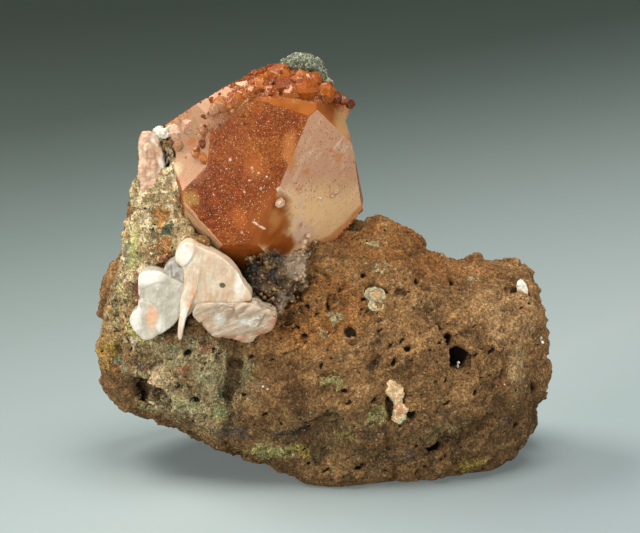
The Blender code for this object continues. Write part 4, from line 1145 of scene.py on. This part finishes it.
def plateOf(corners, front, back, lean, bevel):
    outline = smoothOutline(corners)
    middle = sum(outline, Vector((0.0, 0.0))) / len(outline)
    bpy.ops.mesh.primitive_circle_add(vertices=len(outline), radius=mm, fill_type="NGON")
    plate = bpy.context.view_layer.objects.active
    for vertex, (x, z) in zip(plate.data.vertices, outline):
        vertex.co = Vector((x, back, z)) * mm
    bpy.ops.object.mode_set(mode="EDIT")
    bpy.ops.mesh.select_all(action="SELECT")
    bpy.ops.mesh.extrude_region_move(TRANSFORM_OT_translate={"value": (0, (front - back) * mm, 0)})
    bpy.ops.mesh.bevel(offset=bevel * mm, segments=2, affect="EDGES")
    bpy.ops.mesh.select_all(action="SELECT")
    bpy.ops.mesh.normals_make_consistent(inside=False)
    bpy.ops.object.mode_set(mode="OBJECT")
    for vertex in plate.data.vertices:       # the front leans, the back stays upright
        share = (vertex.co.y / mm - back) / (front - back)
        slope = lean[0] * (vertex.co.x / mm - middle.x) + lean[1] * (vertex.co.z / mm - middle.y)
        vertex.co.y += slope * share * mm
    return plate


def raysFrom(tree, place, base):             # turns a place into a ray and a way along it
    axes = axesOf(tree, place)
    across = maths(tree, "SUBTRACT", axes[0], base[0])
    up = maths(tree, "SUBTRACT", axes[2], base[1])
    angle = times(tree, maths(tree, "ARCTAN2", across, up), base[2])
    length = maths(tree, "SQRT", added(tree, times(tree, across, across), times(tree, up, up)))
    return vectorOf(tree, angle, axes[1], times(tree, length, 0.1))


def shapeBlade(node, plan):
    piece = joined([plateOf(*plate) for plate in plan["plates"]], node + "_crystal")
    remeshed(piece, plan["voxel"], 3)
    tree, shape, place = skinTree(node + " skin")
    rays = raysFrom(tree, wobbled(tree, place, 4.0, 0.4), plan["base"])
    lift = added(tree, centredNoise(tree, place, *plan["waves"]), centredNoise(tree, rays, *plan["ribs"]),
                 stepsAt(tree, rays, *plan["breaks"], 0.35))
    return applyTree(piece, closeSkin(tree, shape, lift))


bladeColours = {
    "peach": (0.66, 0.35, 0.185), "white": (0.7, 0.66, 0.57), "glint": (0.86, 0.8, 0.7),
    # edge and hollow are a painted highlight on raised edges and painted shade in hollows
    "edge": (0.8, 0.75, 0.66), "hollow": (0.34, 0.22, 0.13), "grain": ((0.6, 0.57, 0.52), (1.3, 1.3, 1.3)),
}


def bladeFinish(name, node, tints, patches, spots=(), glints=(), **settings):
    material, tree, shader, place = newFinish(name, IOR=1.5, **settings)
    rays = raysFrom(tree, wobbled(tree, place, 3.0, 0.4), blades[node]["base"])
    streak = noiseAt(tree, rays, 0.5, 4.0, 0.6)
    cloud = noiseAt(tree, place, 3.0, 4.0, 0.6)
    shade = added(tree, times(tree, streak, 1.3), times(tree, cloud, 0.7))
    base = between(tree, span(tree, shade, 0.85, 1.15), tints)
    base = painted(tree, base, wobbled(tree, place, 1.5, 0.35), patches, 0.85, 0.25)
    grain = effect(tree, "grain", place=place, size=0.3)
    base = toned(tree, base, 0.16, grain["Tone"], bladeColours["grain"])
    # painted glints: bright lines along cracks and edges
    lines = [(bladeColours["glint"], path, reach) for path, reach in glints]
    base = veined(tree, base, wobbled(tree, place, 1.0, 0.25), lines, 0.2, 0.9)
    base = painted(tree, base, wobbled(tree, place, 0.8, 0.06), spots, 0.95, 0.75)
    # painted highlight on the raised edges, painted shade in the hollows
    relief = effect(tree, "relief", width=0.10)
    base = tinted(tree, base, bladeColours["edge"], relief["Edge"], 0.35)
    base = tinted(tree, base, bladeColours["hollow"], relief["Hollow"], 0.15)
    link(tree, base, shader, "Base Color")
    link(tree, added(tree, times(tree, noiseAt(tree, place, 1.2), 0.3), 0.16), shader, "Roughness")
    bumped(tree, shader, added(tree, times(tree, streak, 2.0), times(tree, grain["Height"], 0.4)), 0.08, 0.8)
    return material


bladeLooks = {                               # dark spots and painted glints, bright lines along cracks and edges, come after the patches
    "pink_wall_crystal": {
        "name": "pink crystal", "slot": "pink_crystal",
        "tints": ((0.437, 0.244, 0.143), (0.554, 0.378, 0.252)),
        "patches": (
            (bladeColours["white"], (((-28.4, -12, 60), (1.6, 4, 2)), ((-27.8, -11, 55), (0.7, 4, 4)))),
            ((0.56, 0.23, 0.09), (((-29.5, -12, 51), (1.2, 4, 2.4)),)),
            ((0.42, 0.42, 0.24), (((-32.2, -11, 57), (1, 4, 5)), ((-30.2, -11, 48.6), (3, 4, 1.4)))),
        ),
        "shader": {"Subsurface_Weight": 0.3, "Subsurface_Scale": 0.002},
    },
    "white_blade_left": {
        "name": "white blade", "slot": "white_blade",
        "tints": ((0.454, 0.403, 0.319), (0.361, 0.328, 0.248)),
        "patches": (
            (bladeColours["white"], (((-32, -20.4, 30.5), (1.6, 3, 4)),
                ((-29.6, -20, 37.4), (3.8, 3, 2.4)), ((-27.6, -20.4, 29.4), (1.2, 3, 2.4)))),
            (bladeColours["peach"], (((-29.1, -20.6, 30.6), (1.5, 3, 3.2)),)),
        ),
        "glints": ((((-26.2, -20, 36.4), (-25.6, -20.2, 32), (-26.4, -20.2, 28.8)), 0.35),),
        "shader": {"Subsurface_Weight": 0.3, "Subsurface_Scale": 0.002},
    },
    "white_blade_right": {
        "name": "cream blade", "slot": "cream_blade", "tints": ((0.52, 0.36, 0.23), (0.56, 0.46, 0.335)),
        "patches": (
            (bladeColours["white"], (((-23.4, -21, 41.6), (2.4, 3, 2.6)),
                ((-14.2, -21, 36.6), (1.4, 3, 4)), ((-23.6, -21, 31), (0.9, 3, 5)))),
            ((0.65, 0.28, 0.11), (((-22.2, -21, 35), (0.7, 3, 0.6)),
                ((-22.6, -21, 33.2), (0.5, 3, 1.2)))),
        ),
        "spots": (((0.07, 0.045, 0.018), (((-17.1, -20.8, 36.3), (0.6, 2, 0.5)),)),),
        "shader": {"Subsurface_Weight": 0.3, "Subsurface_Scale": 0.002},
    },
    "clear_blade": {
        "name": "clear blade", "slot": "clear_blade",
        "tints": ((0.42, 0.294, 0.185), (0.571, 0.445, 0.311)),
        "patches": (
            ((0.6, 0.4, 0.25), (((-19.9, -20, 30.4), (3.4, 4, 3.2)),)),
            ((0.42, 0.15, 0.05), (((-10, -20.4, 28), (3, 3, 1.5)), ((-16, -20.4, 27.2), (5, 3, 1.1)),
                ((-8.6, -20, 30), (1.2, 3, 2.4)))),
            (bladeColours["white"], (((-13, -20.8, 30.2), (2.4, 3, 0.8)),
                ((-17.6, -21, 30.6), (1.6, 3, 1.6)))),
        ),
        "glints": (
            (((-20.8, -21.4, 33.2), (-16, -21.4, 33.2), (-11.8, -21.4, 33)), 0.24),
            (((-14.6, -21.6, 32.6), (-12.4, -21.6, 29.6)), 0.2),
            (((-12.6, -21.6, 32.8), (-10.2, -21.6, 29.8)), 0.18),
            (((-14.8, -21.6, 30), (-11.2, -21.6, 30.8)), 0.24),
            (((-18.6, -21.6, 32.4), (-17.6, -21.6, 30.6)), 0.18),
            (((-13.6, -21.6, 31.8), (-11, -21.6, 32.4)), 0.16),
            (((-12.8, -21.6, 28.4), (-10.6, -21.6, 30.6)), 0.16),
        ),
        "shader": {"Subsurface_Weight": 0.25, "Subsurface_Scale": 0.002, "Transmission_Weight": 0.3},
    },
    "grey_blade": {
        "name": "grey blade", "slot": "clear_blade", "tints": ((0.33, 0.29, 0.23), (0.52, 0.47, 0.39)),
        "patches": ((bladeColours["peach"], (((-23.2, -19.4, 35.2), (1, 2, 2)),)),),
        "shader": {"Transmission_Weight": 0.35},
    },
}
for node, look in bladeLooks.items():
    finish = bladeFinish(look["name"], node, look["tints"], look["patches"], look.get("spots", ()),
                         look.get("glints", ()), **look["shader"])
    dressed(shapeBlade(node, blades[node]), finish, look["slot"], node)
print("blades done")


# rough green-grey knob on top, and the small crystals

grainPieces = {                              # voxel, two layers of relief, balls added before the remesh
    "green_cap": (
        0.22, (1.3, 0.35), (0.5, 0.18),
        (((-5.6, -8.6, 72.2), 1.4), ((-6.2, -7, 72), 1.3), ((-3.4, -8.8, 72.6), 1.5),
            ((-1.2, -8.4, 71.8), 1.3), ((-0.4, -8.6, 70.6), 1.1), ((0.6, -9, 69.2), 0.9),
            ((1.2, -9.4, 67.9), 0.7), ((1.6, -9.6, 66.8), 0.5)),
    ),
    "white_knob": (0.16, (1.1, 0.45), (0.5, 0.15), (((-27.2, -9, 60.4), 0.8), ((-26.6, -9, 61.4), 0.6))),
    "cream_nodule": (0.14, (1, 0.5), (0.45, 0.3), (((12.4, -19.5, 18.2), 0.6),)),
    "ring_crystal": (0.11, (0.9, 0.24), (0.35, 0.06), ()),
    "white_chip": (0.14, (0.9, 0.16), (0.4, 0.05), ()),
}
smallPlates = {                              # plates that stand in for the plain solid of a node
    "cream_nodule": (
        (((11.1, 19.2), (12.2, 19.4), (13.4, 18.5), (13.8, 17), (13.4, 15.7), (14.3, 14.5), (14.1, 12.6),
            (12.9, 11.7), (12, 12.6), (12.2, 14.6), (11.6, 16.3), (10.6, 17.4)), -20.3, -17, (0.1, 0.02),
            0.5),
    ),
    "white_chip": ((((34.3, 32.6), (35, 33.2), (35.9, 32.4), (36.2, 31), (35.8, 29.4), (35, 30.2),
        (34.4, 31.2)), -3.4, -1.2, (0.2, 0.1), 0.25),),
}
rings = {
    "places": (((8.9, -13.3, 33.1), 1.35, 0.2), ((9, -14.9, 31.5), 1, 0.18)),   # centre and the two radii
    "turn": (math.radians(42.0), 0.1, 0.0), "rimWide": 1.25, "filling": (1.2, 1.0, 0.14),
}


def ringPlates():                            # wavy rims round a flat filling
    pieces = []
    for centre, outer, inner in rings["places"]:
        placed = {"location": Vector(centre) * mm, "rotation": rings["turn"]}
        bpy.ops.mesh.primitive_torus_add(major_radius=outer * mm, minor_radius=inner * mm, **placed)
        pieces.append(bpy.context.view_layer.objects.active)
        pieces[-1].scale.x = rings["rimWide"]
        bpy.ops.mesh.primitive_ico_sphere_add(subdivisions=3, radius=outer * mm, **placed)
        pieces.append(bpy.context.view_layer.objects.active)
        pieces[-1].scale = rings["filling"]
    return pieces


def shapeGrainPiece(node):
    voxel, coarse, fine, mounds = grainPieces[node]
    if node == "ring_crystal":
        piece = joined(ringPlates(), node)
    elif node in smallPlates:
        piece = joined([plateOf(*plate) for plate in smallPlates[node]], node)
    else:
        piece = copyOfNode(node, node)
    piece = remeshed(withMounds(piece, mounds), voxel, 1)
    piece.name = node + "_skin"
    tree, shape, place = skinTree(node + " skin")
    lift = added(tree, centredNoise(tree, place, *coarse), centredNoise(tree, place, *fine))
    return applyTree(piece, closeSkin(tree, shape, lift))


def grainFinish(name, tints, specks, rough, patches=()):
    material, tree, shader, place = newFinish(name, Roughness=rough)
    base = between(tree, span(tree, noiseAt(tree, place, 1.6, 4.0, 0.6), 0.35, 0.65), tints)
    base = painted(tree, base, wobbled(tree, place, 0.9, 0.42), patches, 0.85, 0.75)
    grain = effect(tree, "grain", place=place, size=0.3)
    base = toned(tree, base, 0.7, grain["Tone"], ((0.45, 0.45, 0.45), (1.5, 1.5, 1.5)))
    base = tinted(tree, base, specks, specksAt(tree, place, 0.6, 0.25), 0.6)
    link(tree, base, shader, "Base Color")
    bumped(tree, shader, grain["Height"], 0.12)
    return material


smallLooks = {                               # record slot, material, two tints, specks, roughness and patches
    "green_cap": ("celadonite", "celadonite", ((0.072, 0.08, 0.046), (0.245, 0.255, 0.172)),
        (0.024, 0.028, 0.015), 0.9),
    "white_knob": ("white_crystal", "white knob", ((0.52, 0.44, 0.3), (0.74, 0.7, 0.6)), (0.5, 0.4, 0.2),
        0.5),
    "cream_nodule": (
        "cream_nodule", "cream nodule", ((0.4, 0.25, 0.115), (0.7, 0.5, 0.28)), (0.5, 0.26, 0.14), 0.85,
        (((0.56, 0.23, 0.12), (((13, -19.8, 14.6), (0.7, 3, 0.7)),)),
            ((0.3, 0.33, 0.18), (((13.6, -19.8, 12.4), (1, 3, 1)),))),
    ),
    "ring_crystal": (
        "clear_blade", "ring crystal", ((0.2, 0.16, 0.075), (0.36, 0.31, 0.17)), (0.28, 0.16, 0.07), 0.7,
        (((0.11, 0.08, 0.035), (((8.9, -13.6, 33.1), (1.45, 3, 1.05)), ((9, -14.8, 31.5), (1, 3, 0.7)))),
            ((0.38, 0.32, 0.18), (((8.9, -13.6, 33.1), (1.15, 3, 0.8)),
            ((9, -14.8, 31.5), (0.75, 3, 0.48)))), ((0.15, 0.1, 0.045),
            (((9.1, -13.6, 33.15), (0.8, 3, 0.55)),)), ((0.46, 0.19, 0.065),
            (((9.2, -13.6, 33.2), (0.62, 3, 0.42)),))),
    ),
    "white_chip": ("white_crystal", "white chip", ((0.56, 0.5, 0.4), (0.78, 0.74, 0.64)), (0.5, 0.4, 0.3),
        0.5),
}


def onCapTop(tree, place):
    return maths(tree, "GREATER_THAN", axesOf(tree, place)[2], 60.0)


smallPieces = {}
for node, (slot, *look) in smallLooks.items():
    finish = grainFinish(*look)
    smallPieces[node] = dressed(shapeGrainPiece(node), finish, slot, node)
capGrains = grainsOn(smallPieces["green_cap"], "cap_grains", 61, 4.5, (0.12, 0.30), onCapTop)
dressed(capGrains, druseFinish("cap grains"), "celadonite")
whiteSpecks = (                              # small white crystals in the pores
    ((23.3, -14.9, 21.4), 0.32), ((23.2, -15, 20.8), 0.26), ((38.3, -5, 22.6), 0.5),
    ((38.5, -4.6, 21.8), 0.4), ((38.4, -5.2, 23.4), 0.3), ((-12.2, -17, 17.6), 0.34),
    ((-11.2, -17.3, 17.2), 0.3), ((-10.4, -17.2, 17.7), 0.24), ((-11.8, -17.3, 16.9), 0.22),
    ((-9.6, -17.7, 17.3), 0.2), ((20.1, -17.3, 13.4), 0.28),
)
dressed(clusterOf(whiteSpecks, "white_specks", 21, 1.6), druseFinish("white specks"), "white_crystal")
bpy.data.objects.remove(pattern)
print("small pieces done")


# the rock comes last, because every step is slower with its many faces about

rockPiece = dressed(shapeRock(), basaltFinish(), "basalt", "basalt_matrix")
print("rock:", len(rockPiece.data.polygons), "faces")
grainMaterial = rockGrainFinish()
for number, (perSquare, sizes) in enumerate(((0.5, (0.10, 0.24)), (0.6, (0.07, 0.15)))):
    rockGrains = grainsOn(rockPiece, f"rock_grains_{number}", 11 + 10 * number, perSquare, sizes, onOpenRock)
    dressed(rockGrains, grainMaterial, "basalt")
    print("rock grains:", len(rockGrains.data.polygons), "faces")


# floor, light and camera

studio = {
    "floor": ((-1.6, 1.6), (-0.7, 1.6)), "wallTop": 1.2, "sweep": 0.3,
    "floorSlant": -1.5,                      # the floor's painted light falloff also runs to the back left
    "floorFade": (-110, 1130),
    "paintedGlow": 0.34,                            # how much the floor glows of its own: a painted glow, with no lamp, that fills its shadows
    # painted light falloff: the tones darken from the front of the floor to the top of the wall
    "paintedFalloffTones": (
        (0.01, (0.298, 0.348, 0.354)), (0.05, (0.306, 0.361, 0.356)), (0.09, (0.338, 0.386, 0.38)),
        (0.14, (0.305, 0.359, 0.351)), (0.21, (0.269, 0.316, 0.307)), (0.27, (0.23, 0.272, 0.257)),
        (0.34, (0.183, 0.222, 0.207)), (0.43, (0.139, 0.171, 0.154)), (0.54, (0.101, 0.126, 0.107)),
        (0.85, (0.085, 0.104, 0.088)),
    ),
    "target": (-0.6, 0, 35.2), "tilt": 12, "distance": 410.9, "lens": 130,
    "lights": {                              # place, size, power, tint
        "key": ((-330, 120, 480), (300, 260), 2.61, (1, 0.98, 0.95)),
        "overhead": ((60, -80, 560), (340, 300), 3.13, (1, 0.99, 0.97)),
        "left": ((-560, -300, 200), (440, 300), 2.6, (1, 0.99, 0.97)),
        "right": ((560, -300, 200), (360, 320), 2.1, (1, 0.99, 0.96)),
        "front": ((-200, -600, 170), (400, 300), 2.61, (1, 1, 1)),
    },
    "ambient": ((0.8, 0.86, 0.85), 0.16),
}


def buildFloor():
    (left, right), (front, back) = studio["floor"]
    bpy.ops.mesh.primitive_plane_add(size=1.0, location=((left + right) / 2, (front + back) / 2, 0.0))
    floor = bpy.context.view_layer.objects.active
    floor.name = "floor"
    floor.scale = (right - left, back - front, 1.0)
    bpy.ops.object.transform_apply(location=True, rotation=True, scale=True)
    for edge in floor.data.edges:
        edge.select = all(floor.data.vertices[number].co.y > back - 0.01 for number in edge.vertices)
    for face in floor.data.polygons:
        face.select = False
    bpy.ops.object.mode_set(mode="EDIT")
    bpy.ops.mesh.select_mode(type="EDGE")
    bpy.ops.mesh.extrude_region_move(TRANSFORM_OT_translate={"value": (0, 0, studio["wallTop"])})
    bpy.ops.object.mode_set(mode="OBJECT")
    for edge in floor.data.edges:
        places = [floor.data.vertices[number].co for number in edge.vertices]
        edge.select = all(place.y > back - 0.01 and place.z < 0.01 for place in places)
    bpy.ops.object.mode_set(mode="EDIT")
    bpy.ops.mesh.bevel(offset=studio["sweep"], segments=16, affect="EDGES")
    bpy.ops.object.mode_set(mode="OBJECT")
    bpy.ops.object.shade_smooth()
    return floor


def floorFinish():
    material, tree, shader, place = newFinish("floor", Roughness=0.6, Specular_IOR_Level=0.2)
    axes = axesOf(tree, place)
    # painted light falloff over the floor and wall
    depth = added(tree, axes[1], axes[2], times(tree, axes[0], studio["floorSlant"]))
    low, high = studio["floorFade"]
    fade = put(tree, "ShaderNodeMapRange", {"Value": depth, "From Min": low, "From Max": high}).outputs[0]
    tones = rampOf(tree, fade, studio["paintedFalloffTones"])
    link(tree, tones, shader, "Base Color")
    # painted glow: the floor's tones are also given as emission
    link(tree, tones, shader, "Emission Color")
    shader.inputs["Emission Strength"].default_value = studio["paintedGlow"]
    return material


buildFloor().data.materials.append(floorFinish())


def softBox(name, place, size, power, tint):
    bpy.ops.object.light_add(type="AREA", location=Vector(place) * mm)
    light = bpy.context.view_layer.objects.active
    light.name = name
    light.data.shape = "RECTANGLE"
    light.data.size, light.data.size_y = [length * mm for length in size]
    light.data.energy = power
    light.data.color = tint
    aim = Vector(studio["target"]) - Vector(place)
    light.rotation_euler = aim.to_track_quat("-Z", "Y").to_euler()


for name, settings in studio["lights"].items():
    softBox(name, *settings)
world = bpy.data.worlds.new("studio")
bpy.context.scene.world = world
world.use_nodes = True
backdrop = world.node_tree.nodes["Background"].inputs
backdrop["Color"].default_value = colour(*studio["ambient"][0])
backdrop["Strength"].default_value = studio["ambient"][1]
bpy.context.scene.view_settings.view_transform = "Standard"


def placeCamera():
    tilt = math.radians(studio["tilt"])
    away = Vector((0.0, -math.cos(tilt), math.sin(tilt))) * studio["distance"]
    bpy.ops.object.camera_add(location=(Vector(studio["target"]) + away) * mm,
                              rotation=(math.radians(90.0) - tilt, 0.0, 0.0))
    camera = bpy.context.view_layer.objects.active
    camera.data.lens = studio["lens"]
    camera.data.sensor_width = 36.0
    camera.data.clip_start = 0.01
    bpy.context.scene.camera = camera


placeCamera()
print("stage, lights and camera done")
